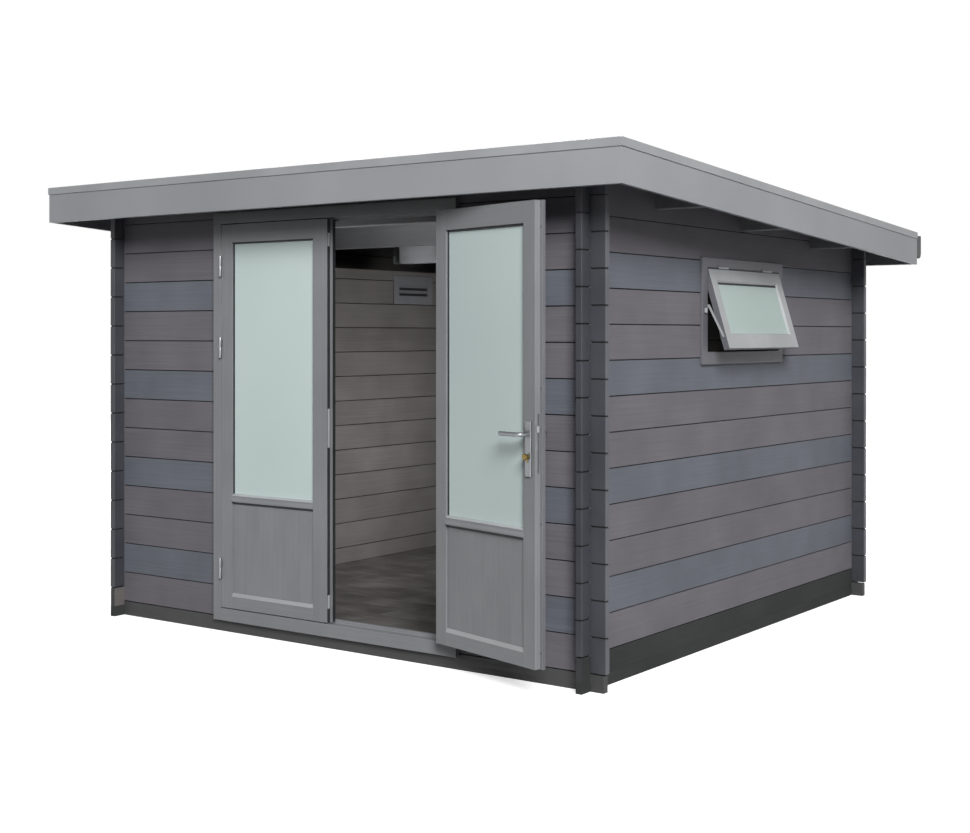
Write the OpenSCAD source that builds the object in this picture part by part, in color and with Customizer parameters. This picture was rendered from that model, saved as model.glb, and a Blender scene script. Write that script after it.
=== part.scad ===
// Garden office pod: a log-cabin style garden room of composite boards that cross at the corners,
// with a sloped roof, rebated double doors and a top-hung window. Millimetres, +Z up.
// The origin is the middle of the wall footprint at ground level, and the doors face -Y.

/* [Cabin] */
// Width across the outer faces of the side walls
cabin_w = 2870; // [2600:10:3400]
// Depth across the outer faces of the front and back walls
cabin_d = 2795; // [2600:5:3400]
// Height of the roof deck's underside at the front wall
front_wall_h = 2166; // [2130:1:2300]
// Thickness of the wall boards
board_t = 30; // [26:1:36]
// Height of one wall board
board_h = 150; // [140:1:160]
// Length of the board ends that run past each corner
corner_stub = 65; // [45:1:100]
// Height of the ground beams under the front and back walls
front_base_h = 70; // [60:1:80]
// Height of the feet under the side walls
foot_h = 52; // [44:1:56]
// Depth of the V joint between boards
seam_depth = 3; // [2:0.5:5]

/* [Floor] */
// Thickness of the floor deck
floor_deck_t = 18; // [15:1:24]
// Height of the floor bearers
bearer_h = 32; // [28:1:45]
// Width of a floor bearer
bearer_w = 60; // [45:1:90]
// Number of floor bearers
bearer_count = 7; // [3:2:9]

/* [Roof] */
// Fall of the roof for each millimetre of depth
roof_slope_share = 0.0582; // [0.02:0.0001:0.08]
// Overhang of the roof in front of the front wall
overhang_front = 230; // [180:1:300]
// Overhang of the roof beside each side wall
overhang_side = 285; // [200:1:340]
// Overhang of the roof behind the back wall
overhang_back = 215; // [120:1:260]
// Height of the fascia boards below the edge trim
fascia_h = 144; // [120:1:170]
// Thickness of the fascia boards
fascia_t = 20; // [16:1:28]
// Thickness of the roof deck
deck_t = 18; // [15:1:25]
// Thickness of the roofing sheet
sheet_t = 3; // [1.5:0.5:5]
// Height of the edge trim's outer face
trim_h = 36; // [30:1:50]
// Width of the edge trim on top of the roof
trim_w = 50; // [40:1:80]
// Thickness of the edge trim's outer leg
trim_t = 4; // [2:0.5:6]
// Height of the roof purlins
purlin_h = 130; // [100:1:140]
// Thickness of the roof purlins
purlin_t = 44; // [35:1:60]
// Distance between the purlins
purlin_pitch = 828; // [600:1:1000]

/* [Gutter] */
// Depth of the gutter from the fascia outwards
gutter_w = 64; // [50:1:90]
// Height of the gutter
gutter_h = 127; // [100:1:140]
// Thickness of the gutter's wall
gutter_wall = 3; // [2:0.5:5]

/* [Door frame] */
// Place of the door frame's middle, from the middle of the front wall
door_x = 23; // [-100:1:100]
// Width across the door frame
door_frame_w = 1490; // [1400:1:1700]
// Height from the top of the door frame to the roof deck
door_head_gap = 118; // [76:1:140]
// Width of the door frame's face
door_face = 53; // [46:1:70]
// How far the door frame stands out from the wall
door_proud = 25; // [18:1:35]
// How far the door frame stands into the room past the wall
door_inset = 10; // [8:1:20]
// Height of the door sill's top
sill_top = 118; // [112:1:130]
// How far the sill stands out from the door frame
sill_nose = 0; // [0:1:20]
// How far the sill's drip hangs below the top of the ground beam
sill_drip = 13; // [8:1:20]
// Width of the stop that the leaves close against
stop_w = 15; // [10:1:20]
// Depth of the groove that holds the ends of the wall boards
board_groove = 12; // [6:1:20]

/* [Door leaves] */
// Thickness of a leaf
leaf_t = 40; // [36:1:42]
// Running gap around the leaves
leaf_gap = 5; // [4:0.5:6]
// Width of the stile on the hinge side
hinge_stile = 71; // [60:1:90]
// Width of the stile where the leaves meet
meeting_stile = 89; // [80:1:110]
// Height of the top rail
top_rail = 88; // [70:1:110]
// Height of the bottom rail
bottom_rail = 75; // [60:1:100]
// Height of the lower panel
panel_h = 444; // [350:1:550]
// Height of the rail between panel and glass
middle_rail = 38; // [30:1:60]
// Width of the overlapping lips where the leaves meet
lip_w = 15; // [12:1:20]
// Thickness of the outer lip on the right leaf
lip_t = 14; // [11:1:16]
// Thickness of the glass unit
pane_t = 14; // [10:1:20]
// Thickness of the lower panel
panel_t = 18; // [14:1:22]
// Depth of the groove that holds glass and panel
pane_groove = 8; // [5:1:12]
// Number of boards in the lower panel
panel_boards = 6; // [4:1:8]
// How far the right leaf stands open
right_leaf_angle = 164; // [0:1:170]

/* [Door furniture] */
// Diameter of a hinge barrel
barrel_d = 14; // [12:0.5:14]
// Height of a hinge barrel
barrel_h = 100; // [80:1:120]
// Diameter of a hinge pin
pin_d = 7; // [5:0.5:8]
// Height of the lever's spindle above the ground
lever_z = 1057; // [1000:1:1100]
// Length of the lever
lever_l = 125; // [100:1:140]
// Diameter of the lever's bar
lever_d = 18; // [14:1:20]
// How far the lever's bar stands off the leaf
lever_off = 48; // [42:1:60]
// Width of the backplates
plate_w = 36; // [30:1:40]
// Height of the backplates
plate_h = 223; // [200:1:240]
// Thickness of the backplates
plate_t = 8; // [5:1:10]
// Diameter of the lock cylinder
cylinder_d = 17; // [14:1:20]
// Distance from the spindle down to the lock cylinder
cylinder_drop = 89; // [72:1:92]

/* [Window] */
// Place of the window's middle along the right wall
window_y = -10; // [-200:1:200]
// Width of the hole in the boards
window_hole_w = 827; // [700:1:1000]
// Least height of wall from the window's hole to the roof deck, measured at the front wall
window_head_gap = 300; // [230:1:370]
// Number of boards that the window is high
window_boards = 3; // [2:1:3]
// How far the casing stands out from the wall
casing_proud = 15; // [10:1:25]
// How far the casing laps the boards at its sides
casing_lap = 20; // [12:1:30]
// How far the casing laps the boards at its foot
casing_lap_bottom = 29; // [15:1:40]
// How far the casing laps the boards at its top
casing_lap_top = 17; // [8:1:20]
// Thickness of the lining in the hole
lining_t = 29; // [20:1:35]
// Thickness of the sash
sash_t = 30; // [26:1:40]
// Width of the sash members
sash_member = 65; // [50:1:75]
// Height of the lowest sash member
sash_bottom = 73; // [55:1:80]
// Gap between sash and lining
sash_gap = 3; // [2:0.5:5]
// Angle at which the sash stands open
sash_angle = 16.5; // [5:0.5:25]

/* [Hidden] */
$fn = 48;

// Overrun of every cut past the face that it opens
cut = 20;
// Half the running fit between a turning piece and its bearing
fit = 0.3;
// Clearance between sloping faces that rest on each other
seat = 0.3;

// Wall faces and board rows
side_x = cabin_w / 2;
front_y = -cabin_d / 2;
back_y = cabin_d / 2;
quarter_board = board_h / 4;
half_board = board_h / 2;
seam_side = seam_depth * sqrt(2);
side_base_h = front_base_h + half_board;
row_count = ceil((front_wall_h - front_base_h) / board_h) + 1;
lap_z = foot_h / 2;

// Roof outline
roof_front = front_y - overhang_front;
roof_back = back_y + overhang_back;
roof_x = side_x + overhang_side;
sheet_top = deck_t + sheet_t;

// Door frame and leaves, with the leaves shut
frame_x0 = door_x - door_frame_w / 2;
frame_x1 = door_x + door_frame_w / 2;
frame_front = front_y - door_proud;
frame_back = front_y + board_t + door_inset;
door_frame_top = front_wall_h - door_head_gap;
opening_x0 = frame_x0 + door_face;
opening_x1 = frame_x1 - door_face;
opening_top = door_frame_top - door_face;
header_z = front_base_h + floor((door_frame_top - front_base_h) / board_h) * board_h;
leaf_z0 = sill_top + leaf_gap;
leaf_z1 = opening_top - leaf_gap;
leaf_h = leaf_z1 - leaf_z0;
leaf_front = frame_front;
leaf_back = leaf_front + leaf_t;
stop_front = leaf_back + leaf_gap;
// The leaves' inner corners swing a little wide, so their inner gap is wider
swing_gap = leaf_gap + leaf_gap / 2;
left_x0 = opening_x0 + leaf_gap;
left_x1 = door_x + leaf_gap / 2;
left_lip_x = left_x1 + lip_w;
right_x1 = opening_x1 - leaf_gap;
right_x0 = left_x1 + leaf_gap;
right_inner_x = left_lip_x + swing_gap;
lip_front = leaf_front + lip_t + leaf_gap;
panel_z0 = leaf_z0 + bottom_rail;
panel_z1 = panel_z0 + panel_h;
glass_z0 = panel_z1 + middle_rail;
glass_z1 = leaf_z1 - top_rail;
pane_y = (leaf_front + leaf_back) / 2;
rail_bead = 6;
rail_slope = 17;
ledge_land = 3;
rail_bead_share = 0.22;
panel_seam = panel_t / 8;
panel_seam_side = panel_seam * sqrt(2);

// Hinges
barrel_off = barrel_d / 2 + fit;
hinge_y = leaf_front - barrel_off;
left_hinge_x = opening_x0 + leaf_gap / 2;
right_hinge_x = opening_x1 - leaf_gap / 2;
hinge_shares = [0.102, 0.679, 0.892];
hinge_play = fit * 2;
hinge_wing = barrel_d / 2;
hinge_cap_share = 0.12;

// Lock and lever
spindle_x = right_inner_x + (right_x0 + meeting_stile - right_inner_x) / 2;
spindle_d = lever_d / 2;
neck_d = lever_d - lever_d / 9;
cylinder_z = lever_z - cylinder_drop;
plate_above_share = 0.24;
plate_z1 = lever_z + plate_h * plate_above_share;
plate_z0 = plate_z1 - plate_h;
faceplate_w = 20;
faceplate_t = 3;
faceplate_h = 238;
faceplate_rise = 15;
faceplate_z0 = plate_z0 + faceplate_rise;
knob_l = 20;
knob_d = 25;
bolt_w = 14;
bolt_h = 62;
bolt_margin_share = 0.035;
strike_h = 180;
strike_z0 = faceplate_z0 + (faceplate_h - strike_h) / 2;

// Window
hole_y0 = window_y - window_hole_w / 2;
hole_y1 = window_y + window_hole_w / 2;
hole_z1 = side_base_h + floor((front_wall_h - window_head_gap - side_base_h) / board_h) * board_h;
hole_z0 = hole_z1 - window_boards * board_h;
casing_x = side_x + casing_proud;
clear_y0 = hole_y0 + lining_t;
clear_y1 = hole_y1 - lining_t;
clear_z0 = hole_z0 + lining_t;
clear_z1 = hole_z1 - lining_t;
lining_x = side_x - board_t - door_inset;
sash_y0 = clear_y0 + sash_gap;
sash_y1 = clear_y1 - sash_gap;
sash_z0 = clear_z0 + sash_gap;
sash_z1 = clear_z1 - sash_gap;
sash_pane_t = sash_t / 2;
knuckle_r = 6;
sash_axis_x = casing_x + knuckle_r + fit;
sash_axis_z = clear_z1;
window_hinge_w = 110;
window_hinge_share = 0.31;
hinge_plate_t = 3;
stay_w = 16;
stay_in_share = 0.62;
stay_out_share = 0.72;

// Vent cover on the left wall's inner face
vent_w = 400;
vent_h = 180;
vent_drop = 426;
vent_back_gap = 167.5;
vent_y = back_y - board_t - vent_back_gap - vent_w / 2;
vent_z = front_wall_h - vent_drop;
vent_t = 6;
vent_hood = 34;
vent_rim_share = 0.14;

// Colours
base_colour = "#474a49";
foot_colour = "#8b8d8c";
board_colour = "#6a666b";
roof_colour = "#9a9c9f";
sheet_colour = "#3c3e40";
timber_colour = "#6b6257";
floor_colour = "#3f3b38";
door_colour = "#7b7d80";
glass_colour = "#b0c0be";
steel_colour = "#b9bbbd";
brass_colour = "#b49a5a";
window_colour = "#c3c6c7";
gutter_colour = "#33363a";

// Height of the roof deck's underside at a depth
function deck_z(y) = front_wall_h - roof_slope_share * (y - front_y);

// Box between two corners
module block(x0, x1, y0, y1, z0, z1) {
    translate([x0, y0, z0])
        cube([x1 - x0, y1 - y0, z1 - z0]);
}

// Bar that follows the roof's slope, with heights given from the deck's underside
module roof_bar(x0, x1, y0, y1, low, high) {
    translate([x0, 0, 0])
        rotate([90, 0, 90])
            linear_extrude(x1 - x0)
                polygon([
                    [y0, deck_z(y0) + low],
                    [y1, deck_z(y1) + low],
                    [y1, deck_z(y1) + high],
                    [y0, deck_z(y0) + high]
                ]);
}

// Everything above the deck's underside, for cutting the wall tops
module above_deck() {
    roof_bar(-roof_x, roof_x, roof_front, roof_back, 0, cabin_d);
}

// V joint along X, cut on both faces of a wall between two depths
module seam_along_x(x0, x1, y0, y1, z) {
    for (y = [y0, y1])
        translate([x0, y, z])
            rotate([45, 0, 0])
                translate([0, -seam_side / 2, -seam_side / 2])
                    cube([x1 - x0, seam_side, seam_side]);
}

// V joint along Y, cut on both faces of a wall between two sides
module seam_along_y(x0, x1, y0, y1, z) {
    for (x = [x0, x1])
        translate([x, y0, z])
            rotate([0, 45, 0])
                translate([-seam_side / 2, 0, -seam_side / 2])
                    cube([seam_side, y1 - y0, seam_side]);
}

// Bands in the corner columns that belong to the side walls' boards
module side_board_bands(y0) {
    for (x0 = [-side_x, side_x - board_t], row = [-1 : row_count])
        block(x0, x0 + board_t, y0 - cut, y0 + board_t + cut,
            side_base_h + row * board_h + quarter_board,
            side_base_h + row * board_h + quarter_board + half_board);
}

// Bands in the corner columns that belong to the front and back walls' boards
module front_board_bands(x0) {
    for (y0 = [front_y, back_y - board_t], row = [0 : row_count])
        block(x0 - cut, x0 + board_t + cut, y0, y0 + board_t,
            front_base_h + row * board_h + quarter_board,
            front_base_h + row * board_h + quarter_board + half_board);
}

// Stretch of a front or back wall, with its V joints and corner notches
module boards_along_x(x0, x1, y0, z0, z1) {
    difference() {
        block(x0, x1, y0, y0 + board_t, z0, z1);
        for (row = [1 : row_count])
            if (front_base_h + row * board_h > z0 && front_base_h + row * board_h < z1)
                seam_along_x(x0 - cut, x1 + cut, y0, y0 + board_t, front_base_h + row * board_h);
        side_board_bands(y0);
        above_deck();
    }
}

// Stretch of a side wall, with its V joints, corner notches and purlin seats
module boards_along_y(x0, y0, y1, z0, z1) {
    difference() {
        block(x0, x0 + board_t, y0, y1, z0, z1);
        for (row = [1 : row_count])
            if (side_base_h + row * board_h > z0 && side_base_h + row * board_h < z1)
                seam_along_y(x0, x0 + board_t, y0 - cut, y1 + cut, side_base_h + row * board_h);
        front_board_bands(x0);
        above_deck();
        purlins(cut);
    }
}

// Ground beam under a front or back wall, lapped over the side feet
module ground_beam(y0) {
    difference() {
        block(-side_x - corner_stub, side_x + corner_stub, y0, y0 + board_t, 0, front_base_h);
        for (x0 = [-side_x, side_x - board_t])
            block(x0, x0 + board_t, y0 - cut, y0 + board_t + cut, -cut, lap_z);
    }
}

// Foot under a side wall, lapped under the ground beams
module side_foot(x0) {
    difference() {
        block(x0, x0 + board_t, front_y - corner_stub, back_y + corner_stub, 0, foot_h);
        for (y0 = [front_y, back_y - board_t])
            block(x0 - cut, x0 + board_t + cut, y0, y0 + board_t, lap_z, foot_h + cut);
    }
}

// Starter board between a foot and the first side board
module starter_board(x0) {
    difference() {
        block(x0, x0 + board_t, front_y - corner_stub, back_y + corner_stub, foot_h, side_base_h);
        for (y0 = [front_y, back_y - board_t]) {
            block(x0 - cut, x0 + board_t + cut, y0, y0 + board_t, foot_h - cut, front_base_h);
            block(x0 - cut, x0 + board_t + cut, y0, y0 + board_t,
                front_base_h + quarter_board, side_base_h + cut);
        }
    }
}

module base_front() {
    color(base_colour) ground_beam(front_y);
}

module base_back() {
    color(base_colour) ground_beam(back_y - board_t);
}

module base_left() {
    color(foot_colour) side_foot(-side_x);
}

module base_right() {
    color(foot_colour) side_foot(side_x - board_t);
}

module plinth_left() {
    color(base_colour) starter_board(-side_x);
}

module plinth_right() {
    color(base_colour) starter_board(side_x - board_t);
}

module floor_bearers() {
    bearer_run = cabin_w - board_t * 2 - bearer_w;
    color(timber_colour)
        for (place = [0 : bearer_count - 1])
            translate([-bearer_run / 2 - bearer_w / 2 + bearer_run * place / (bearer_count - 1), 0, 0])
                block(0, bearer_w, front_y + board_t, back_y - board_t, 0, bearer_h);
}

module floor_deck() {
    color(floor_colour)
        block(-side_x + board_t, side_x - board_t, front_y + board_t, back_y - board_t,
            bearer_h, bearer_h + floor_deck_t);
}

module front_wall_left() {
    color(board_colour)
        boards_along_x(-side_x - corner_stub, frame_x0 + board_groove, front_y, front_base_h, header_z);
}

module front_wall_right() {
    color(board_colour)
        boards_along_x(frame_x1 - board_groove, side_x + corner_stub, front_y, front_base_h, header_z);
}

// Top boards of the front wall, in one length over the door frame
module front_top_board() {
    color(board_colour)
        difference() {
            boards_along_x(-side_x - corner_stub, side_x + corner_stub, front_y, header_z,
                front_wall_h + cut);
            block(frame_x0, frame_x1, front_y - cut, front_y + board_t + cut, header_z - cut, door_frame_top);
        }
}

module back_wall() {
    color(board_colour)
        boards_along_x(-side_x - corner_stub, side_x + corner_stub, back_y - board_t, front_base_h,
            front_wall_h);
}

module left_wall() {
    color(board_colour)
        boards_along_y(-side_x, front_y - corner_stub, back_y + corner_stub, side_base_h,
            front_wall_h + cut);
}

module right_wall_lower() {
    color(board_colour)
        boards_along_y(side_x - board_t, front_y - corner_stub, back_y + corner_stub, side_base_h, hole_z0);
}

module right_wall_beside_window() {
    color(board_colour) {
        boards_along_y(side_x - board_t, front_y - corner_stub, hole_y0, hole_z0, hole_z1);
        boards_along_y(side_x - board_t, hole_y1, back_y + corner_stub, hole_z0, hole_z1);
    }
}

module right_wall_upper() {
    color(board_colour)
        boards_along_y(side_x - board_t, front_y - corner_stub, back_y + corner_stub, hole_z1,
            front_wall_h + cut);
}

// Purlins that lie in the tops of the side walls and carry the roof out to the fascias
module purlins(rise) {
    for (place = [-1 : 1])
        roof_bar(-roof_x + fascia_t, roof_x - fascia_t,
            place * purlin_pitch - purlin_t / 2, place * purlin_pitch + purlin_t / 2, -purlin_h, rise);
}

module roof_purlins() {
    color(timber_colour) purlins(0);
}

module roof_deck() {
    color(timber_colour)
        roof_bar(-roof_x + fascia_t, roof_x - fascia_t, roof_front + fascia_t, roof_back - fascia_t,
            seat, deck_t);
}

module roof_sheet() {
    color(sheet_colour) roof_bar(-roof_x, roof_x, roof_front, roof_back, deck_t, sheet_top);
}

module fascia_front() {
    color(roof_colour)
        roof_bar(-roof_x, roof_x, roof_front, roof_front + fascia_t, -fascia_h, deck_t);
}

module fascia_back() {
    color(roof_colour)
        roof_bar(-roof_x, roof_x, roof_back - fascia_t, roof_back, -fascia_h, deck_t);
}

module side_fascia(x0) {
    roof_bar(x0, x0 + fascia_t, roof_front + fascia_t, roof_back - fascia_t, -fascia_h, deck_t);
}

module fascia_left() {
    color(roof_colour) side_fascia(-roof_x);
}

module fascia_right() {
    color(roof_colour) side_fascia(roof_x - fascia_t);
}

// Plan of the front trim, with mitred ends
module front_trim_plan() {
    linear_extrude(front_wall_h + cabin_d)
        polygon([
            [-roof_x - trim_t - cut, roof_front - trim_t - cut],
            [roof_x + trim_t + cut, roof_front - trim_t - cut],
            [roof_x - trim_w - cut, roof_front + trim_w + cut],
            [-roof_x + trim_w + cut, roof_front + trim_w + cut]
        ]);
}

// Angle trim over the front fascia, on top of the roofing sheet
module roof_trim_front() {
    color(roof_colour)
        intersection() {
            difference() {
                roof_bar(-roof_x - trim_t, roof_x + trim_t, roof_front - trim_t, roof_front + trim_w,
                    0, trim_h);
                roof_bar(-roof_x - trim_t - cut, roof_x + trim_t + cut, roof_front, roof_front + trim_w + cut,
                    -cut, sheet_top + seat);
            }
            front_trim_plan();
        }
}

// Angle trim over a side fascia, mitred to the front trim
module side_trim(x_edge, x_out, x_in) {
    inwards = sign(x_in - x_edge) * cut;
    difference() {
        roof_bar(min(x_out, x_in), max(x_out, x_in), roof_front - trim_t, roof_back, 0, trim_h);
        roof_bar(min(x_edge, x_in + inwards), max(x_edge, x_in + inwards),
            roof_front - trim_t - cut, roof_back + cut, -cut, sheet_top + seat);
        front_trim_plan();
    }
}

module roof_trim_left() {
    color(roof_colour) side_trim(-roof_x, -roof_x - trim_t, -roof_x + trim_w);
}

module roof_trim_right() {
    color(roof_colour) side_trim(roof_x, roof_x + trim_t, roof_x - trim_w);
}

// Section of the gutter, with a half-round bottom
module gutter_section(wall, rise) {
    radius = gutter_w / 2;
    translate([radius, radius])
        circle(r = radius - wall);
    translate([wall, radius])
        square([gutter_w - wall * 2, gutter_h - radius + rise]);
}

// Gutter on the back fascia, just under the edge of the roofing sheet, with closed ends
module gutter() {
    color(gutter_colour)
        translate([-roof_x, roof_back, deck_z(roof_back) + deck_t - gutter_h])
            rotate([90, 0, 90]) {
                linear_extrude(roof_x * 2)
                    difference() {
                        gutter_section(0, 0);
                        gutter_section(gutter_wall, cut);
                    }
                for (x = [0, roof_x * 2 - gutter_wall])
                    translate([0, 0, x])
                        linear_extrude(gutter_wall)
                            gutter_section(0, 0);
            }
}

// Grooves in the door frame that hold the ends of the wall boards
module board_grooves() {
    for (span = [[frame_x0 - cut, frame_x0 + board_groove], [frame_x1 - board_groove, frame_x1 + cut]])
        block(span[0], span[1], front_y, front_y + board_t, front_base_h, header_z);
}

module door_jamb_left() {
    color(door_colour)
        difference() {
            union() {
                block(frame_x0, opening_x0, frame_front, frame_back, sill_top, opening_top);
                block(frame_x0, opening_x0 + stop_w, stop_front, frame_back, sill_top, opening_top);
            }
            board_grooves();
        }
}

module door_jamb_right() {
    color(door_colour)
        difference() {
            union() {
                block(opening_x1, frame_x1, frame_front, frame_back, sill_top, opening_top);
                block(opening_x1 - stop_w, frame_x1, stop_front, frame_back, sill_top, opening_top);
            }
            board_grooves();
        }
}

module door_head() {
    color(door_colour)
        difference() {
            union() {
                block(frame_x0, frame_x1, frame_front, frame_back, opening_top, door_frame_top);
                block(opening_x0 + stop_w, opening_x1 - stop_w, stop_front, frame_back,
                    opening_top - stop_w, door_frame_top);
            }
            board_grooves();
        }
}

// Sill on the ground beam, with a nose in front and a drip that hangs over the beam
module door_sill() {
    color(door_colour)
        difference() {
            union() {
                block(frame_x0, frame_x1, frame_front - sill_nose, frame_back, front_base_h, sill_top);
                block(frame_x0, frame_x1, frame_front - sill_nose, front_y,
                    front_base_h - sill_drip, sill_top);
                block(opening_x0 + stop_w, opening_x1 - stop_w, stop_front, frame_back,
                    front_base_h, sill_top + stop_w);
            }
            board_grooves();
        }
}

// Slab for a pane or panel, let into the grooves of its frame
module pane_slab(x0, x1, z0, z1, thickness) {
    block(x0 - pane_groove, x1 + pane_groove, pane_y - thickness / 2, pane_y + thickness / 2,
        z0 - pane_groove, z1 + pane_groove);
}

// Weathering on both faces of the middle rail
module rail_beads(x0, x1) {
    bead_z = middle_rail * rail_bead_share;
    translate([x0, 0, panel_z1])
        rotate([90, 0, 90])
            linear_extrude(x1 - x0)
                polygon([
                    [leaf_front - rail_bead, 0],
                    [leaf_front - rail_bead, bead_z],
                    [leaf_front, middle_rail],
                    [leaf_back, middle_rail],
                    [leaf_back + rail_bead, bead_z],
                    [leaf_back + rail_bead, 0]
                ]);
}

// Sloped top edges of the bottom rail, cut on both faces
module rail_slopes(x0, x1) {
    land_y = panel_t / 2 + ledge_land;
    for (face = [-1, 1])
        translate([x0, pane_y, panel_z0])
            rotate([90, 0, 90])
                linear_extrude(x1 - x0)
                    polygon([
                        [face * land_y, 0],
                        [face * leaf_t / 2, -rail_slope],
                        [face * (leaf_t / 2 + cut), -rail_slope],
                        [face * (leaf_t / 2 + cut), cut],
                        [face * land_y, cut]
                    ]);
}

// Stiles and rails cut from a leaf's outline, with grooves for the glass and the panel
module leaf_members(x0, x1) {
    difference() {
        union() {
            difference() {
                children();
                for (z = [[panel_z0, panel_z1], [glass_z0, glass_z1]])
                    block(x0, x1, leaf_front - cut, leaf_back + cut, z[0], z[1]);
                rail_slopes(x0, x1);
            }
            rail_beads(x0, x1);
        }
        pane_slab(x0, x1, panel_z0, panel_z1, panel_t);
        pane_slab(x0, x1, glass_z0, glass_z1, pane_t);
    }
}

// Boarded lower panel with V joints on both faces
module boarded_panel(x0, x1) {
    board_w = (x1 - x0) / panel_boards;
    difference() {
        pane_slab(x0, x1, panel_z0, panel_z1, panel_t);
        for (joint = [1 : panel_boards - 1], face = [-1, 1])
            translate([x0 + joint * board_w, pane_y + face * panel_t / 2, panel_z0 - pane_groove - cut])
                rotate([0, 0, 45])
                    translate([-panel_seam_side / 2, -panel_seam_side / 2, 0])
                        cube([panel_seam_side, panel_seam_side, panel_h + pane_groove * 2 + cut * 2]);
    }
}

// Pocket and plate let into the left leaf's free edge
module left_edge_plates() {
    plate_y = (leaf_front + lip_front) / 2;
    bolt_margin = leaf_h * bolt_margin_share;
    for (z = [leaf_z0 + bolt_margin, leaf_z1 - bolt_margin - bolt_h])
        block(left_x1 - faceplate_t, left_x1, plate_y - bolt_w / 2, plate_y + bolt_w / 2, z, z + bolt_h);
    block(left_x1 - faceplate_t, left_x1, plate_y - bolt_w / 2, plate_y + bolt_w / 2,
        strike_z0, strike_z0 + strike_h);
}

// Left leaf: its inner lip laps behind the right leaf
module left_leaf_frame() {
    color(door_colour)
        difference() {
            leaf_members(left_x0 + hinge_stile, left_x1 - meeting_stile) {
                block(left_x0, left_x1, leaf_front, leaf_back, leaf_z0, leaf_z1);
                block(left_x0, left_lip_x, lip_front, leaf_back, leaf_z0, leaf_z1);
            }
            left_edge_plates();
        }
}

module left_leaf_glass() {
    color(glass_colour)
        pane_slab(left_x0 + hinge_stile, left_x1 - meeting_stile, glass_z0, glass_z1, pane_t);
}

module left_leaf_panel() {
    color(door_colour) boarded_panel(left_x0 + hinge_stile, left_x1 - meeting_stile);
}

module left_leaf_bolts() {
    color(steel_colour) left_edge_plates();
}

// Turns the shut right leaf about its hinge pins to where it stands
module right_leaf_place() {
    translate([right_hinge_x, hinge_y, 0])
        rotate([0, 0, right_leaf_angle])
            translate([-right_hinge_x, -hinge_y, 0])
                children();
}

// Cylinder along the thickness of the shut leaf
module rod_through(x, z, diameter, y0, y1) {
    translate([x, y0, z])
        rotate([-90, 0, 0])
            cylinder(d = diameter, h = y1 - y0);
}

// Lock faceplate on the right leaf's free edge
module lock_faceplate() {
    plate_y = (leaf_front + lip_t + leaf_back) / 2;
    block(right_inner_x, right_inner_x + faceplate_t, plate_y - faceplate_w / 2, plate_y + faceplate_w / 2,
        faceplate_z0, faceplate_z0 + faceplate_h);
}

// Right leaf: its outer lip laps in front of the left leaf
module right_leaf_frame() {
    color(door_colour)
        right_leaf_place()
            difference() {
                leaf_members(right_x0 + meeting_stile, right_x1 - hinge_stile) {
                    block(right_inner_x, right_x1, leaf_front, leaf_back, leaf_z0, leaf_z1);
                    block(right_x0, right_x1, leaf_front, leaf_front + lip_t, leaf_z0, leaf_z1);
                }
                lock_faceplate();
                rod_through(spindle_x, lever_z, spindle_d * 2, leaf_front - cut, leaf_back + cut);
                rod_through(spindle_x, cylinder_z, cylinder_d + fit * 2, leaf_front - cut, leaf_back + cut);
            }
}

module right_leaf_glass() {
    color(glass_colour)
        right_leaf_place()
            pane_slab(right_x0 + meeting_stile, right_x1 - hinge_stile, glass_z0, glass_z1, pane_t);
}

module right_leaf_panel() {
    color(door_colour)
        right_leaf_place()
            boarded_panel(right_x0 + meeting_stile, right_x1 - hinge_stile);
}

// Backplates on both faces, with the lever's bearings and the cylinder's holes
module right_leaf_backplates() {
    color(steel_colour)
        right_leaf_place()
            for (y0 = [leaf_front - plate_t, leaf_back])
                difference() {
                    block(spindle_x - plate_w / 2, spindle_x + plate_w / 2, y0, y0 + plate_t, plate_z0, plate_z1);
                    rod_through(spindle_x, lever_z, neck_d + fit * 2, y0 - cut, y0 + plate_t + cut);
                    rod_through(spindle_x, cylinder_z, cylinder_d + fit * 2, y0 - cut, y0 + plate_t + cut);
                }
}

module right_leaf_lock() {
    color(steel_colour) right_leaf_place() lock_faceplate();
}

// Lock cylinder through the stile, with a thumb knob on the inside
module right_leaf_cylinder() {
    color(brass_colour)
        right_leaf_place() {
            rod_through(spindle_x, cylinder_z, cylinder_d, leaf_front - plate_t - faceplate_t,
                leaf_back + plate_t + knob_l);
            rod_through(spindle_x, cylinder_z, knob_d, leaf_back + plate_t + knob_l / 2,
                leaf_back + plate_t + knob_l);
        }
}

// Levers on both faces, on one spindle
module lever_handle() {
    inner_y = leaf_back + lever_off;
    outer_y = leaf_front - lever_off;
    color(steel_colour)
        right_leaf_place() {
            rod_through(spindle_x, lever_z, spindle_d, leaf_front, leaf_back);
            rod_through(spindle_x, lever_z, neck_d, leaf_back, inner_y);
            rod_through(spindle_x, lever_z, neck_d, outer_y, leaf_front);
            for (y = [inner_y, outer_y])
                translate([spindle_x, y, lever_z]) {
                    sphere(d = lever_d);
                    rotate([0, 90, 0])
                        cylinder(d = lever_d, h = lever_l - lever_d / 2);
                    translate([lever_l - lever_d / 2, 0, 0])
                        sphere(d = lever_d);
                }
        }
}

// Wing that joins a barrel to the face beside it, towards one side of the pin
module hinge_wing_block(side, z0, z1) {
    x0 = side > 0 ? leaf_gap / 2 : -leaf_gap / 2 - hinge_wing;
    block(x0, x0 + hinge_wing, 0, barrel_off, z0, z1);
}

// Lower half of a hinge on the door frame, with the pin
module frame_hinge_half(side) {
    half_h = barrel_h / 2;
    cap_h = barrel_h * hinge_cap_share;
    translate([0, 0, -half_h]) {
        cylinder(d = barrel_d, h = half_h - hinge_play / 2);
        cylinder(d = pin_d, h = barrel_h - cap_h);
    }
    hinge_wing_block(side, -half_h + cap_h, -cap_h);
    hinge_web(side, -half_h + cap_h, -cap_h);
}

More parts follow.
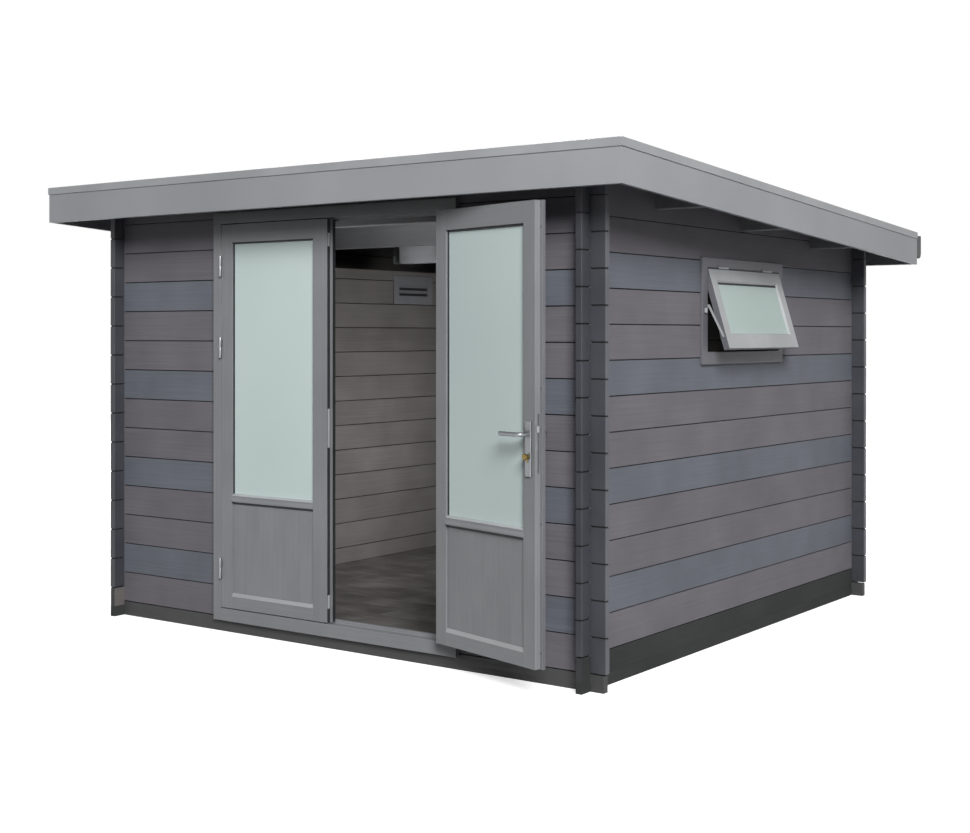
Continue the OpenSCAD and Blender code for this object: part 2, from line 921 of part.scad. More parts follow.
// Upper half of a hinge on a leaf, bored for the pin
module leaf_hinge_half(side) {
    half_h = barrel_h / 2;
    cap_h = barrel_h * hinge_cap_share;
    difference() {
        union() {
            translate([0, 0, hinge_play / 2])
                cylinder(d = barrel_d, h = half_h - hinge_play / 2);
            hinge_wing_block(side, cap_h, half_h - cap_h);
            hinge_web(side, cap_h, half_h - cap_h);
        }
        translate([0, 0, -half_h])
            cylinder(d = pin_d + fit * 2, h = barrel_h - cap_h + fit);
    }
}

// Web between a barrel's middle and its wing
module hinge_web(side, z0, z1) {
    x0 = side > 0 ? pin_d / 2 + fit : -pin_d / 2 - fit - hinge_wing / 2;
    block(x0, x0 + hinge_wing / 2, 0, barrel_off / 2, z0, z1);
}

// Places of the hinges on one side of the doorway
module hinge_places(x) {
    for (share = hinge_shares)
        translate([x, hinge_y, leaf_z0 + leaf_h * share])
            children();
}

module frame_hinges() {
    color(steel_colour) {
        hinge_places(left_hinge_x) frame_hinge_half(-1);
        hinge_places(right_hinge_x) frame_hinge_half(1);
    }
}

module left_leaf_hinges() {
    color(steel_colour) hinge_places(left_hinge_x) leaf_hinge_half(1);
}

module right_leaf_hinges() {
    color(steel_colour)
        right_leaf_place()
            hinge_places(right_hinge_x) leaf_hinge_half(-1);
}

// Casing on the boards with a lining through the wall
module window_casing() {
    color(window_colour)
        difference() {
            union() {
                block(side_x, casing_x, hole_y0 - casing_lap, hole_y1 + casing_lap,
                    hole_z0 - casing_lap_bottom, hole_z1 + casing_lap_top);
                block(lining_x, casing_x, hole_y0, hole_y1, hole_z0, hole_z1);
            }
            block(lining_x - cut, casing_x + cut, clear_y0, clear_y1, clear_z0, clear_z1);
        }
}

// Swings what hangs from the window's hinges out to where it stands
module sash_place() {
    translate([sash_axis_x, 0, sash_axis_z])
        rotate([0, -sash_angle, 0])
            translate([-sash_axis_x, 0, -sash_axis_z])
                children();
}

module sash_pane() {
    pane_x = casing_x - sash_t / 2;
    block(pane_x - sash_pane_t / 2, pane_x + sash_pane_t / 2,
        sash_y0 + sash_member - pane_groove, sash_y1 - sash_member + pane_groove,
        sash_z0 + sash_bottom - pane_groove, sash_z1 - sash_member + pane_groove);
}

module window_sash() {
    color(window_colour)
        sash_place()
            difference() {
                block(casing_x - sash_t, casing_x, sash_y0, sash_y1, sash_z0, sash_z1);
                block(casing_x - sash_t - cut, casing_x + cut, sash_y0 + sash_member, sash_y1 - sash_member,
                    sash_z0 + sash_bottom, sash_z1 - sash_member);
                sash_pane();
            }
}

module window_glass() {
    color(glass_colour) sash_place() sash_pane();
}

// Hinges over the sash: a knuckle with a plate on the casing and a plate on the sash
module window_hinges() {
    spread = (sash_y1 - sash_y0) * window_hinge_share;
    color(steel_colour)
        for (side = [-1, 1])
            translate([0, window_y + side * spread - window_hinge_w / 2, 0]) {
                translate([sash_axis_x, 0, sash_axis_z])
                    rotate([-90, 0, 0])
                        cylinder(r = knuckle_r, h = window_hinge_w);
                block(casing_x, casing_x + hinge_plate_t, 0, window_hinge_w,
                    sash_axis_z, sash_axis_z + lining_t);
                sash_place()
                    block(casing_x, casing_x + hinge_plate_t, 0, window_hinge_w,
                        sash_axis_z - lining_t, sash_axis_z);
            }
}

// Stays in the gaps beside the sash, from the lining out to the sash's edges
module window_stays() {
    sash_h = sash_z1 - sash_z0;
    reach = sash_h * stay_out_share;
    in_point = [side_x - board_t / 2, sash_z1 - sash_h * stay_in_share];
    out_point = [
        sash_axis_x + reach * sin(sash_angle) - sash_t / 2,
        sash_axis_z - reach * cos(sash_angle)
    ];
    run = out_point - in_point;
    color(steel_colour)
        for (y0 = [clear_y0, sash_y1])
            translate([in_point[0], y0, in_point[1]])
                rotate([0, -atan2(run[1], run[0]), 0])
                    translate([0, 0, -stay_w / 2])
                        cube([norm(run), sash_gap, stay_w]);
}

// Vent cover with a sloped hood, on the left wall's inner face
module vent_cover() {
    wall_x = -side_x + board_t;
    rim = vent_h * vent_rim_share;
    color(steel_colour) {
        block(wall_x, wall_x + vent_t, vent_y - vent_w / 2, vent_y + vent_w / 2,
            vent_z - vent_h / 2, vent_z + vent_h / 2);
        translate([0, vent_y + vent_w / 2 - rim, 0])
            rotate([90, 0, 0])
                linear_extrude(vent_w - rim * 2)
                    polygon([
                        [wall_x, vent_z - vent_h / 2 + rim],
                        [wall_x + vent_hood, vent_z - vent_h / 2 + rim],
                        [wall_x + vent_t, vent_z + vent_h / 2 - rim],
                        [wall_x, vent_z + vent_h / 2 - rim]
                    ]);
    }
}

base_front();
base_back();
base_left();
base_right();
plinth_left();
plinth_right();
floor_bearers();
floor_deck();
front_wall_left();
front_wall_right();
front_top_board();
back_wall();
left_wall();
right_wall_lower();
right_wall_beside_window();
right_wall_upper();
roof_purlins();
roof_deck();
roof_sheet();
fascia_front();
fascia_back();
fascia_left();
fascia_right();
roof_trim_front();
roof_trim_left();
roof_trim_right();
gutter();
door_jamb_left();
door_jamb_right();
door_head();
door_sill();
left_leaf_frame();
left_leaf_glass();
left_leaf_panel();
left_leaf_bolts();
right_leaf_frame();
right_leaf_glass();
right_leaf_panel();
right_leaf_backplates();
right_leaf_lock();
right_leaf_cylinder();
lever_handle();
frame_hinges();
left_leaf_hinges();
right_leaf_hinges();
window_casing();
window_sash();
window_glass();
window_hinges();
window_stays();
vent_cover();
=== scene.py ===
import math
import random

import bmesh
import bpy
from mathutils import Matrix, Vector


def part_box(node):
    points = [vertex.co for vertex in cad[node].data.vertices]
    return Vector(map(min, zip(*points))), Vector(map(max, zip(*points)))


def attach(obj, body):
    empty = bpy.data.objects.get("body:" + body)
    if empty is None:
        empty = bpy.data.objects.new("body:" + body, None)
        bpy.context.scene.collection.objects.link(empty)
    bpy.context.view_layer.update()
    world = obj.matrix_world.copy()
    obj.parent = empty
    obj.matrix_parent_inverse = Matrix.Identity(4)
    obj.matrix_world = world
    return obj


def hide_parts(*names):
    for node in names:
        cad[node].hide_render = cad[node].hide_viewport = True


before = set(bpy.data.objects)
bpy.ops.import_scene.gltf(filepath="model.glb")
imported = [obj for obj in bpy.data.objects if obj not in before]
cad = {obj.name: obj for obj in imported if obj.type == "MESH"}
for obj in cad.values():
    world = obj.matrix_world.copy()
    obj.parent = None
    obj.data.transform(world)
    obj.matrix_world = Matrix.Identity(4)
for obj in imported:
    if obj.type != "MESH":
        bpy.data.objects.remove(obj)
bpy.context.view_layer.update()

mm = 0.001
scene = bpy.context.scene
print("frame loaded:", len(cad), "nodes")

# camera: level, at the height of a standing photographer, right of the near corner
shot = {"place": (4.618, -6.536, 1.456), "turn": 35.844, "lens": 54.95, "rise": -0.0848}
lens = bpy.data.cameras.new("photoLens")
lens.sensor_fit = "HORIZONTAL"
lens.sensor_width = 36
lens.lens = shot["lens"]
lens.shift_y = shot["rise"]
lens.clip_end = 200
photoCamera = bpy.data.objects.new("photoCamera", lens)
photoCamera.location = shot["place"]
photoCamera.rotation_euler = (math.radians(90), 0, math.radians(shot["turn"]))
scene.collection.objects.link(photoCamera)
scene.camera = photoCamera
scene.view_settings.view_transform = "Standard"
print("camera set")


# finishes
def srgb(text):
    parts = [int(text[i:i + 2], 16) / 255 for i in (1, 3, 5)]
    return [p / 12.92 if p <= 0.04045 else ((p + 0.055) / 1.055) ** 2.4 for p in parts] + [1.0]


def addNode(tree, kind, links=None, **settings):
    node = tree.nodes.new(kind)
    for key, value in settings.items():
        setattr(node, key, value)
    for socket, source in (links or {}).items():
        if isinstance(source, bpy.types.NodeSocket):
            tree.links.new(source, node.inputs[socket])
        else:
            node.inputs[socket].default_value = source
    return node


def startFinish(name, shader):
    material = bpy.data.materials.new(name)
    material.use_nodes = True
    skin = material.node_tree.nodes["Principled BSDF"]
    for socket, value in shader.items():
        skin.inputs[socket].default_value = value
    return material, material.node_tree, skin


def paintTones(tree, skin, pattern, tones, low, high):
    ramp = addNode(tree, "ShaderNodeValToRGB", {"Fac": pattern})
    ends = ramp.color_ramp.elements
    ends[0].position, ends[0].color = low, srgb(tones[0])
    ends[1].position, ends[1].color = high, srgb(tones[2])
    ends.new((low + high) / 2).color = srgb(tones[1])
    tree.links.new(ramp.outputs["Color"], skin.inputs["Base Color"])


def roughen(tree, skin, pattern, rough, strength, bumpMm):
    # the same pattern in gloss and relief
    shine = addNode(tree, "ShaderNodeMapRange", {"Value": pattern, "From Min": 0.3, "From Max": 0.7,
                                                "To Min": rough[0], "To Max": rough[1]})
    tree.links.new(shine.outputs["Result"], skin.inputs["Roughness"])
    relief = addNode(tree, "ShaderNodeBump",
                     {"Height": pattern, "Strength": strength, "Distance": bumpMm * mm})
    tree.links.new(relief.outputs["Normal"], skin.inputs["Normal"])


# long drawn grain: run is the axis that it follows, or the grainRun attribute of a built piece
def grainFinish(name, tones, run="grain", longMm=300, fineMm=5, patchMm=350, rough=(0.5, 0.65),
                bumpMm=0.3, shader=None):
    material, tree, skin = startFinish(name, shader or {})
    if run == "grain":
        spot = addNode(tree, "ShaderNodeAttribute", attribute_name="grainRun").outputs["Vector"]
    else:
        spot = addNode(tree, "ShaderNodeTexCoord").outputs["Object"]
    along, across = 1000 / longMm, 1000 / fineMm
    stretch = [across, across, across]
    stretch["xyz".index(run) if run in "xyz" else 0] = along
    drawn = addNode(tree, "ShaderNodeMapping", {"Vector": spot, "Scale": stretch}).outputs["Vector"]
    streaks = addNode(tree, "ShaderNodeTexNoise",
                      {"Vector": drawn, "Scale": 1, "Detail": 4, "Roughness": 0.62}).outputs["Fac"]
    patches = addNode(tree, "ShaderNodeTexNoise", {"Vector": spot, "Scale": 1000 / patchMm, "Detail": 2})
    both = addNode(tree, "ShaderNodeMath", {0: streaks, 1: patches.outputs["Fac"]}, operation="ADD")
    half = addNode(tree, "ShaderNodeMath", {0: both.outputs[0], 1: 0.5}, operation="MULTIPLY")
    paintTones(tree, skin, half.outputs[0], tones, 0.36, 0.64)
    roughen(tree, skin, streaks, rough, 0.6, bumpMm)
    return material


# even speckle of a moulded, sprayed or rolled skin
def speckFinish(name, tones, gritMm=2.5, patchMm=300, rough=(0.4, 0.55), bumpMm=0.15, shader=None):
    material, tree, skin = startFinish(name, shader or {})
    spot = addNode(tree, "ShaderNodeTexCoord").outputs["Object"]
    grit = addNode(tree, "ShaderNodeTexNoise",
                   {"Vector": spot, "Scale": 1000 / gritMm, "Detail": 2}).outputs["Fac"]
    patches = addNode(tree, "ShaderNodeTexNoise", {"Vector": spot, "Scale": 1000 / patchMm, "Detail": 3})
    paintTones(tree, skin, patches.outputs["Fac"], tones, 0.34, 0.66)
    roughen(tree, skin, grit, rough, 0.5, bumpMm)
    return material


# wood-plastic composite, extruded and brushed: dull, with fine lines along the board
brushed = {"longMm": 420, "fineMm": 6, "rough": (0.62, 0.78), "bumpMm": 0.5}
brownBoard = grainFinish("brownCompositeBoard", ("#625f65", "#6c696f", "#767379"), **brushed)
blueBoard = grainFinish("blueCompositeBoard", ("#5c6068", "#666a73", "#70747d"), **brushed)
# the same boards on the room side: one warm tone
innerBoard = grainFinish("warmCompositeBoard", ("#605d5b", "#6a6765", "#74716f"), **brushed)
# the same composite in the shade of a joint: tongue faces, nearly black
paintedJointShade = grainFinish("shadedTongue", ("#141416", "#1a1a1d", "#202024"), rough=(0.8, 0.9))
# ASA end caps, injection moulded: even anthracite with a faint sheen
endCap = speckFinish("anthraciteEndCap", ("#35363c", "#3b3c42", "#414248"), gritMm=1.5, rough=(0.5, 0.62))
# sawn and sanded end faces of the same boards: paler
capFace = speckFinish("sandedBoardEnd", ("#595a60", "#606167", "#67686e"), gritMm=2.0, rough=(0.55, 0.7))
# softwood beams, dipped in dark stain: nearly flat, grain just visible
stainedBeamX = grainFinish("stainedBeamX", ("#3c3c3d", "#434344", "#4a4a4b"), run="x", fineMm=9,
                           rough=(0.6, 0.8))
# two coats of it on the side beams and the starter boards: flatter and darker
darkStain = {"fineMm": 9, "rough": (0.75, 0.9), "shader": {"Specular IOR Level": 0.15}}
stainedBeamY = grainFinish("stainedBeamY", ("#393b3a", "#3f4140", "#454746"), run="y", **darkStain)
starterStain = grainFinish("darkStainedStarter", ("#393b3a", "#3f4140", "#454746"), **darkStain)
# hardwood joinery, sprayed with satin paint: grain only as faint lines in the gloss
satin = {"longMm": 500, "fineMm": 7, "rough": (0.38, 0.5), "bumpMm": 0.12}
doorPaint = grainFinish("satinGreyJoinery", ("#7d7f82", "#848689", "#8b8d90"), **satin)
jambPaint = grainFinish("satinGreyJamb", ("#7d7f82", "#838588", "#8a8c8f"), run="z", **satin)
railPaint = grainFinish("satinGreyRail", ("#7d7f82", "#838588", "#8a8c8f"), run="x", **satin)
# the window's sash, sprayed paler
sashPaint = speckFinish("paleGreySash", ("#a3a5a7", "#abadaf", "#b3b5b7"), gritMm=3, rough=(0.35, 0.48))
# toughened glass, acid etched on both faces: milky mint, soft gloss
etched = {"gritMm": 1.2, "patchMm": 900, "rough": (0.72, 0.8), "bumpMm": 0.02,
          "shader": {"IOR": 1.5, "Specular IOR Level": 0.3}}
etchedGlass = speckFinish("etchedMintGlass", ("#d2e2e0", "#d6e6e3", "#dae9e6"), **etched)
# the same glass in the window, in greyer tones
windowGlass = speckFinish("etchedWindowGlass", ("#b8c7c3", "#bccbc7", "#c0cfcb"), **etched)
# aluminium weather bars and fittings, satin anodised: pale; on the door rails' upward slopes it also stands
# for a painted highlight from above
paleMetalAndHighlight = speckFinish("anodisedMetalAndPaintedHighlight", ("#a4a6a8", "#aaacae", "#b0b2b4"), gritMm=2, rough=(0.3, 0.4))
# rubber glazing seal, extruded: black and dull; the same black also stands as painted shade in gaps,
# recesses, on end faces and under the door rails' beads
blackSealAndShade = speckFinish("blackSealAndPaintedShade", ("#191b1d", "#1f2123", "#26282a"), rough=(0.6, 0.75))
# roof edge boards of foamed PVC, light grey and smooth
fasciaSkin = speckFinish("paleGreyFascia", ("#95979b", "#9a9ca0", "#9fa1a5"), gritMm=3, patchMm=700,
                         rough=(0.42, 0.52))
# folded aluminium, powder coated: fine orange peel
trimCoat = speckFinish("powderCoatedTrim", ("#9c9ea1", "#a2a4a7", "#a8aaad"), gritMm=1.6, rough=(0.3, 0.42))
# rubber membrane, rolled out: dark, with slow waves
membrane = speckFinish("rolledRubberRoof", ("#303234", "#393b3d", "#434547"), gritMm=60, patchMm=600,
                       rough=(0.8, 0.92), bumpMm=0.25, shader={"Specular IOR Level": 0.15})
# gutter of extruded vinyl, anthracite
gutterVinyl = speckFinish("anthraciteVinyl", ("#1f2124", "#25272a", "#2b2d31"), gritMm=4, rough=(0.4, 0.5))
# stainless steel, satin ground: fine vertical lines
satinSteel = grainFinish("satinStainless", ("#7f8183", "#8a8c8e", "#95979a"), run="z", longMm=60, fineMm=1.2,
                         rough=(0.34, 0.46), bumpMm=0.03, shader={"Metallic": 1.0})
# polished brass, lacquered: dull gold
lockBrass = grainFinish("lockBrass", ("#75633a", "#857242", "#95814c"), run="z", longMm=30, fineMm=1.2,
                        rough=(0.22, 0.34), bumpMm=0.03, shader={"Metallic": 1.0})
# spruce boards and purlins, stained or painted grey: grain shows through
ceilingWood = grainFinish("greyStainedSpruce", ("#4b4a4a", "#585757", "#656463"), fineMm=8, rough=(0.6, 0.75))
purlinWood = grainFinish("greyPaintedPurlin", ("#7c7d80", "#848588", "#8c8d90"), run="x", fineMm=8,
                         rough=(0.5, 0.65))
# laminate floor, printed oak in charcoal: long streaks, low sheen
floorLaminate = grainFinish("charcoalLaminate", ("#4e4b49", "#686563", "#868380"), longMm=380, fineMm=22,
                            patchMm=260, rough=(0.4, 0.55), bumpMm=0.2)
# pressure-treated pine, rough sawn: dull, brown-green
bearerPine = grainFinish("treatedPine", ("#575245", "#676154", "#787163"), run="y", fineMm=9,
                         rough=(0.7, 0.85))
# sheet steel plate, powder coated in the wall's grey
ventCoat = speckFinish("powderCoatedPlate", ("#75767a", "#7b7c80", "#818286"), gritMm=1.6, rough=(0.4, 0.5))
# window casing: the door's grey with its shade painted in, close to the colour of the boards
greyWithPaintedShade = speckFinish("greyPaintInPaintedShade", ("#5f5f65", "#65656b", "#6b6b71"), gritMm=3, rough=(0.45, 0.58))
print("finishes mixed:", len(bpy.data.materials))


# building helpers
def newShape():
    bm = bmesh.new()
    bm.verts.layers.float_vector.new("grainRun")
    return bm


def softenEdges(bm, edges, width, segments=2):
    bmesh.ops.bevel(bm, geom=list(edges), offset=width, offset_type="OFFSET", segments=segments, profile=0.5,
                    affect="EDGES", clamp_overlap=True, material=-1)


def tell(bm, known, run, seed, material=0):
    # grain direction, shift and finish of what was added since known was taken
    layer = bm.verts.layers.float_vector["grainRun"]
    order = {"x": (0, 1, 2), "y": (1, 0, 2), "z": (2, 0, 1)}[run]
    for v in bm.verts:
        if v not in known:
            co = v.co
            v[layer] = (co[order[0]] + seed * 1.73, co[order[1]] + seed * 0.61, co[order[2]] + seed * 0.37)
            for f in v.link_faces:
                f.material_index = material


def addBar(bm, low, high, edge=1.5, run="x", seed=0, material=0, segments=2):
    known = set(bm.verts)
    low, high = Vector(low) * mm, Vector(high) * mm
    made = bmesh.ops.create_cube(bm, size=1)["verts"]
    bmesh.ops.scale(bm, vec=high - low, verts=made)
    bmesh.ops.translate(bm, vec=(low + high) / 2, verts=made)
    if edge:
        softenEdges(bm, {e for v in made for e in v.link_edges}, edge * mm, segments)
    tell(bm, known, run, seed, material)


def spotOn(plane, u, v, depth):
    return Vector({"xz": (u, depth, v), "yz": (depth, u, v), "xy": (u, v, depth)}[plane]) * mm


def addOutline(bm, points, plane, depth0, depth1, edge=0, soften="rims", run="x", seed=0, material=0):
    known = set(bm.verts)
    first = bm.faces.new([bm.verts.new(spotOn(plane, u, v, depth0)) for u, v in points])
    grown = bmesh.ops.extrude_face_region(bm, geom=[first])["geom"]
    last = facesOf(grown)
    bmesh.ops.translate(bm, vec=spotOn(plane, 0, 0, depth1 - depth0), verts=vertsOf(grown))
    flanks = {f for v in first.verts for f in v.link_faces}
    bmesh.ops.recalc_face_normals(bm, faces=list(flanks) + last)
    if edge:
        rims = set(first.edges) | {e for f in last for e in f.edges}
        every = {e for f in flanks for e in f.edges}
        softenEdges(bm, {"rims": rims, "long": every - rims, "all": every}[soften], edge * mm)
    tell(bm, known, run, seed, material)


def addRod(bm, start, end, radius, edge):
    known = set(bm.verts)
    start, end = Vector(start) * mm, Vector(end) * mm
    turn = (end - start).to_track_quat("Z", "Y").to_matrix().to_4x4()
    place = Matrix.Translation((start + end) / 2) @ turn
    made = bmesh.ops.create_cone(bm, cap_ends=True, segments=28, radius1=radius * mm, radius2=radius * mm,
                                 depth=(end - start).length, matrix=place)["verts"]
    rims = {e for v in made for e in v.link_edges if any(len(f.verts) > 4 for f in e.link_faces)}
    softenEdges(bm, rims, edge * mm)
    tell(bm, known, "z", 0)


def turnShape(bm, angle, axis, centre):
    turn = Matrix.Rotation(math.radians(angle), 3, axis)
    bmesh.ops.rotate(bm, cent=Vector(centre) * mm, matrix=turn, verts=bm.verts)


def freshFaces(bm, known):
    return {f for v in bm.verts if v not in known for f in v.link_faces}


def freshEdges(bm, known):
    return {e for v in bm.verts if v not in known for e in v.link_edges}


def vertsOf(geom):
    return [g for g in geom if isinstance(g, bmesh.types.BMVert)]


def facesOf(geom):
    return [g for g in geom if isinstance(g, bmesh.types.BMFace)]


def putPiece(bm, name, body, finishes, hides=()):
    mesh = bpy.data.meshes.new(name)
    bm.to_mesh(mesh)
    bm.free()
    for finish in finishes:
        mesh.materials.append(finish)
    for face in mesh.polygons:
        face.use_smooth = True
    mesh.set_sharp_from_angle(angle=math.radians(32))
    piece = bpy.data.objects.new(name, mesh)
    scene.collection.objects.link(piece)
    even = piece.modifiers.new("evenFaces", "WEIGHTED_NORMAL")
    even.weight = 100
    even.keep_sharp = True
    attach(piece, body)
    if hides:
        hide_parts(*hides)


def dressNode(name, finish, edge=0.0):
    piece = cad[name]
    if piece.material_slots:
        for place in piece.material_slots:
            place.material = finish
    else:
        piece.data.materials.append(finish)
    if edge:
        weld = piece.modifiers.new("weld", "WELD")
        weld.merge_threshold = 0.00001
        arris = piece.modifiers.new("arris", "BEVEL")
        arris.width = edge * mm
        arris.segments = 2
        arris.limit_method = "ANGLE"
        arris.angle_limit = math.radians(40)


# wall boards, stacked and notched into each other at the corners
walls = {
    "sideX": 1435, "frontY": -1397.5, "backY": 1397.5, "thick": 30, "boardH": 150, "stub": 65,
    "frontRows": 70, "sideRows": 145, "deckFront": 2166, "fall": 0.0582,
    "gap": 4.8, "edge": 1.8, "tongue": 18, "capEdge": 2.5, "capProud": 1.0, "capOver": (8, 1), "capGap": 6.5,
    "capInset": 5, "capLeast": 12, "seat": 0.5, "least": 4, "windowLap": 20,
    "doorHole": (-710, 756, 0, 2020), "doorHead": (-722, 768, 2000, 2048),
    "purlins": (-828, 0, 828), "purlin": (44, 130), "open": 9999,
}
seat = walls["seat"]


def deckZ(y):
    return walls["deckFront"] - walls["fall"] * (y - walls["frontY"])


def deckY(z):
    return walls["frontY"] + (walls["deckFront"] - z) / walls["fall"]


def boardStretches(u0, u1, z0, z1, cuts, sloped):
    # what the cuts leave of one board: unbroken runs of (start, end, low, high at start, high at end)
    least = walls["least"]
    marks = {u0, u1} | {u for c in cuts for u in c[:2]}
    if sloped:
        marks |= {deckY(z0 + least + seat), deckY(z1 + seat)}
    marks = sorted(u for u in marks if u0 <= u <= u1)
    runs, current = [], []
    for a, b in zip(marks, marks[1:]):
        low, high = z0, z1
        for ca, cb, cz0, cz1 in cuts:
            if ca < b and cb > a and cz0 < high and cz1 > low:
                if cz0 <= low:
                    low = min(cz1, high)
                else:
                    high = cz0
        ends = [min(high, deckZ(u) - seat) if sloped else high for u in (a, b)]
        if min(ends) - low < least - 0.1:
            runs.append(current)
            current = []
        else:
            current.append((a, b, low, *ends))
    runs.append(current)
    return [r for r in runs if r]


def outlineOf(run):
    points = [p for a, b, low, highA, highB in run for p in ((a, highA), (b, highB))]
    points += [p for a, b, low, highA, highB in reversed(run) for p in ((b, low), (a, low))]
    kept = []
    for i, p in enumerate(points):
        before, after = points[i - 1], points[(i + 1) % len(points)]
        level = before[1] == p[1] == after[1]
        upright = before[0] == p[0] == after[0]
        if p != before and not level and not upright:
            kept.append(p)
    return kept


def wallShape(plane, outer, inner, firstRow, top, spanEnd, cuts, sloped):
    # one wall of boards between the two corners, with a tongue in each joint painted nearly black as the
    # joint's shade
    bm = newShape()
    run = "x" if plane == "xz" else "y"
    quarter, gap = walls["boardH"] / 4, walls["gap"]
    middle = (outer + inner) / 2
    row, z0 = 0, firstRow
    while z0 < top:
        z1 = z0 + walls["boardH"]
        tone = 1 if row % 3 == 1 and row < 12 else 0
        ends = [sorted((s * spanEnd, s * (spanEnd - walls["thick"]))) for s in (-1, 1)]
        bands = ((z0 - 1, z0 + quarter), (z1 - quarter, z1 + 1))
        notches = [(a, b, lo, hi) for a, b in ends for lo, hi in bands]
        for stretch in boardStretches(-spanEnd, spanEnd, z0 + gap, min(z1, top), cuts + notches, sloped):
            seed = row * 7 + round(stretch[0][0]) % 5
            addOutline(bm, outlineOf(stretch), plane, outer, inner, walls["edge"], "rims", run, seed, tone)
            for a, b, low, highA, highB in stretch:
                if low == z0 + gap and row > 0:
                    lowMark = spotOn(plane, a, z0, middle - walls["tongue"] / 2) / mm
                    highMark = spotOn(plane, b, z0 + gap, middle + walls["tongue"] / 2) / mm
                    addBar(bm, lowMark, highMark, 0, run, seed, 2)
        row += 1
        z0 = z1
    # the room side is one tone
    depth = 1 if plane == "xz" else 0
    for face in bm.faces:
        if face.material_index < 2 and (face.calc_center_median()[depth] / mm - middle) * (inner - outer) > 0:
            face.material_index = 3
    return bm


purlinT, purlinH = walls["purlin"]
purlinCuts = [(y - purlinT / 2 - seat, y + purlinT / 2 + seat,
               deckZ(y + purlinT / 2) - purlinH - seat, walls["open"]) for y in walls["purlins"]]
casingLow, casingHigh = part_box("window_casing")
windowCut = (casingLow.y / mm + walls["windowLap"], casingHigh.y / mm - walls["windowLap"],
             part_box("right_wall_lower")[1].z / mm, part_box("right_wall_upper")[0].z / mm)
boardFinishes = (brownBoard, blueBoard, paintedJointShade, innerBoard)
frontY, backY, sideX, thick = walls["frontY"], walls["backY"], walls["sideX"], walls["thick"]
frontRows, sideRows = walls["frontRows"], walls["sideRows"]

front = wallShape("xz", frontY, frontY + thick, frontRows, deckZ(frontY + thick) - seat, sideX,
                  [walls["doorHole"], walls["doorHead"]], False)
putPiece(front, "front_boards", "cabin", boardFinishes,
         ("front_wall_left", "front_wall_right", "front_top_board"))
back = wallShape("xz", backY, backY - thick, frontRows, deckZ(backY) - seat, sideX, [], False)
putPiece(back, "back_boards", "cabin", boardFinishes, ("back_wall",))
left = wallShape("yz", -sideX, -sideX + thick, sideRows, deckZ(frontY), -frontY, purlinCuts, True)
putPiece(left, "left_boards", "cabin", boardFinishes, ("left_wall",))
right = wallShape("yz", sideX, sideX - thick, sideRows, deckZ(frontY), -frontY,
                  purlinCuts + [windowCut], True)
putPiece(right, "right_boards", "cabin", boardFinishes,
         ("right_wall_lower", "right_wall_beside_window", "right_wall_upper"))


# moulded caps on the board ends that stand past the corners
def capStack(bm, low, high, firstRow, top, axis):
    z0, inset = firstRow, walls["capInset"]
    while z0 < top - walls["capLeast"]:
        z1 = min(z0 + walls["boardH"], top)
        known = set(bm.verts)
        addBar(bm, (low[0], low[1], z0 + walls["capGap"]), (high[0], high[1], z1), 0)
        upright = [e for e in freshEdges(bm, known) if abs(e.verts[0].co.z - e.verts[1].co.z) > mm]
        softenEdges(bm, upright, walls["capEdge"] * mm, 3)
        rims = [e for e in freshEdges(bm, known) if e.calc_face_angle(0) > 1.2]
        softenEdges(bm, rims, walls["edge"] * mm / 2, 1)
        tell(bm, known, "z", z0)
        for face in freshFaces(bm, known):
            if axis == 0 and abs(face.normal.x) > 0.9:
                face.material_index = 2
        if z0 > firstRow:
            # core in the joint, painted nearly black as its shade
            addBar(bm, (low[0] + inset, low[1] + inset, z0),
                   (high[0] - inset, high[1] - inset, z0 + walls["capGap"]), 0, "z", 0, 1)
        z0 = z1


bm = newShape()
out = walls["capProud"]
stubX, stubY = [walls["stub"] + over for over in walls["capOver"]]
for sx in (-1, 1):
    for yEdge, inwards in ((frontY, 1), (backY, -1)):
        xs = sorted((sx * sideX, sx * (sideX + stubX)))
        ys = sorted((yEdge - out * inwards, yEdge + (thick + out) * inwards))
        capStack(bm, (xs[0], ys[0]), (xs[1], ys[1]), frontRows, deckZ(max(ys)) - 1, 0)
        ys = sorted((yEdge, yEdge - stubY * inwards))
        xs = sorted((sx * (sideX + out), sx * (sideX - thick - out)))
        capStack(bm, (xs[0], ys[0]), (xs[1], ys[1]), sideRows, deckZ(max(ys)) - 1, 1)
putPiece(bm, "corner_caps", "cabin", (endCap, paintedJointShade, capFace))
print("walls stacked")

# ground beams, feet and bearers keep their CAD shape
for node in ("base_front", "base_back"):
    dressNode(node, stainedBeamX, 2.0)
for node in ("base_left", "base_right"):
    dressNode(node, stainedBeamY, 0.8)
dressNode("floor_bearers", bearerPine, 2.0)

# starter boards, dark outside and warm towards the room, notched over the ground beams
bm = newShape()
for sx, node in ((-1, "plinth_left"), (1, "plinth_right")):
    low, high = [Vector(c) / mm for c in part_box(node)]
    marks = (low.y, frontY - seat, frontY + thick + seat, backY - thick - seat, backY + seat, high.y)
    beam = frontRows + seat
    steps = [(marks[i], marks[i + 1], beam if i in (1, 3) else low.z, high.z, high.z) for i in range(5)]
    known = set(bm.verts)
    addOutline(bm, outlineOf(steps), "yz", low.x, high.x, walls["edge"], "rims", "y", sx * 3)
    for face in freshFaces(bm, known):
        if face.normal.x * sx < -0.5:
            face.material_index = 1
        # faces past the corners are painted black as shade
        if abs(face.normal.y) > 0.5 and abs(face.calc_center_median().y) > -frontY * mm:
            face.material_index = 2
putPiece(bm, "starter_boards", "cabin", (starterStain, innerBoard, blackSealAndShade),
         ("plinth_left", "plinth_right"))

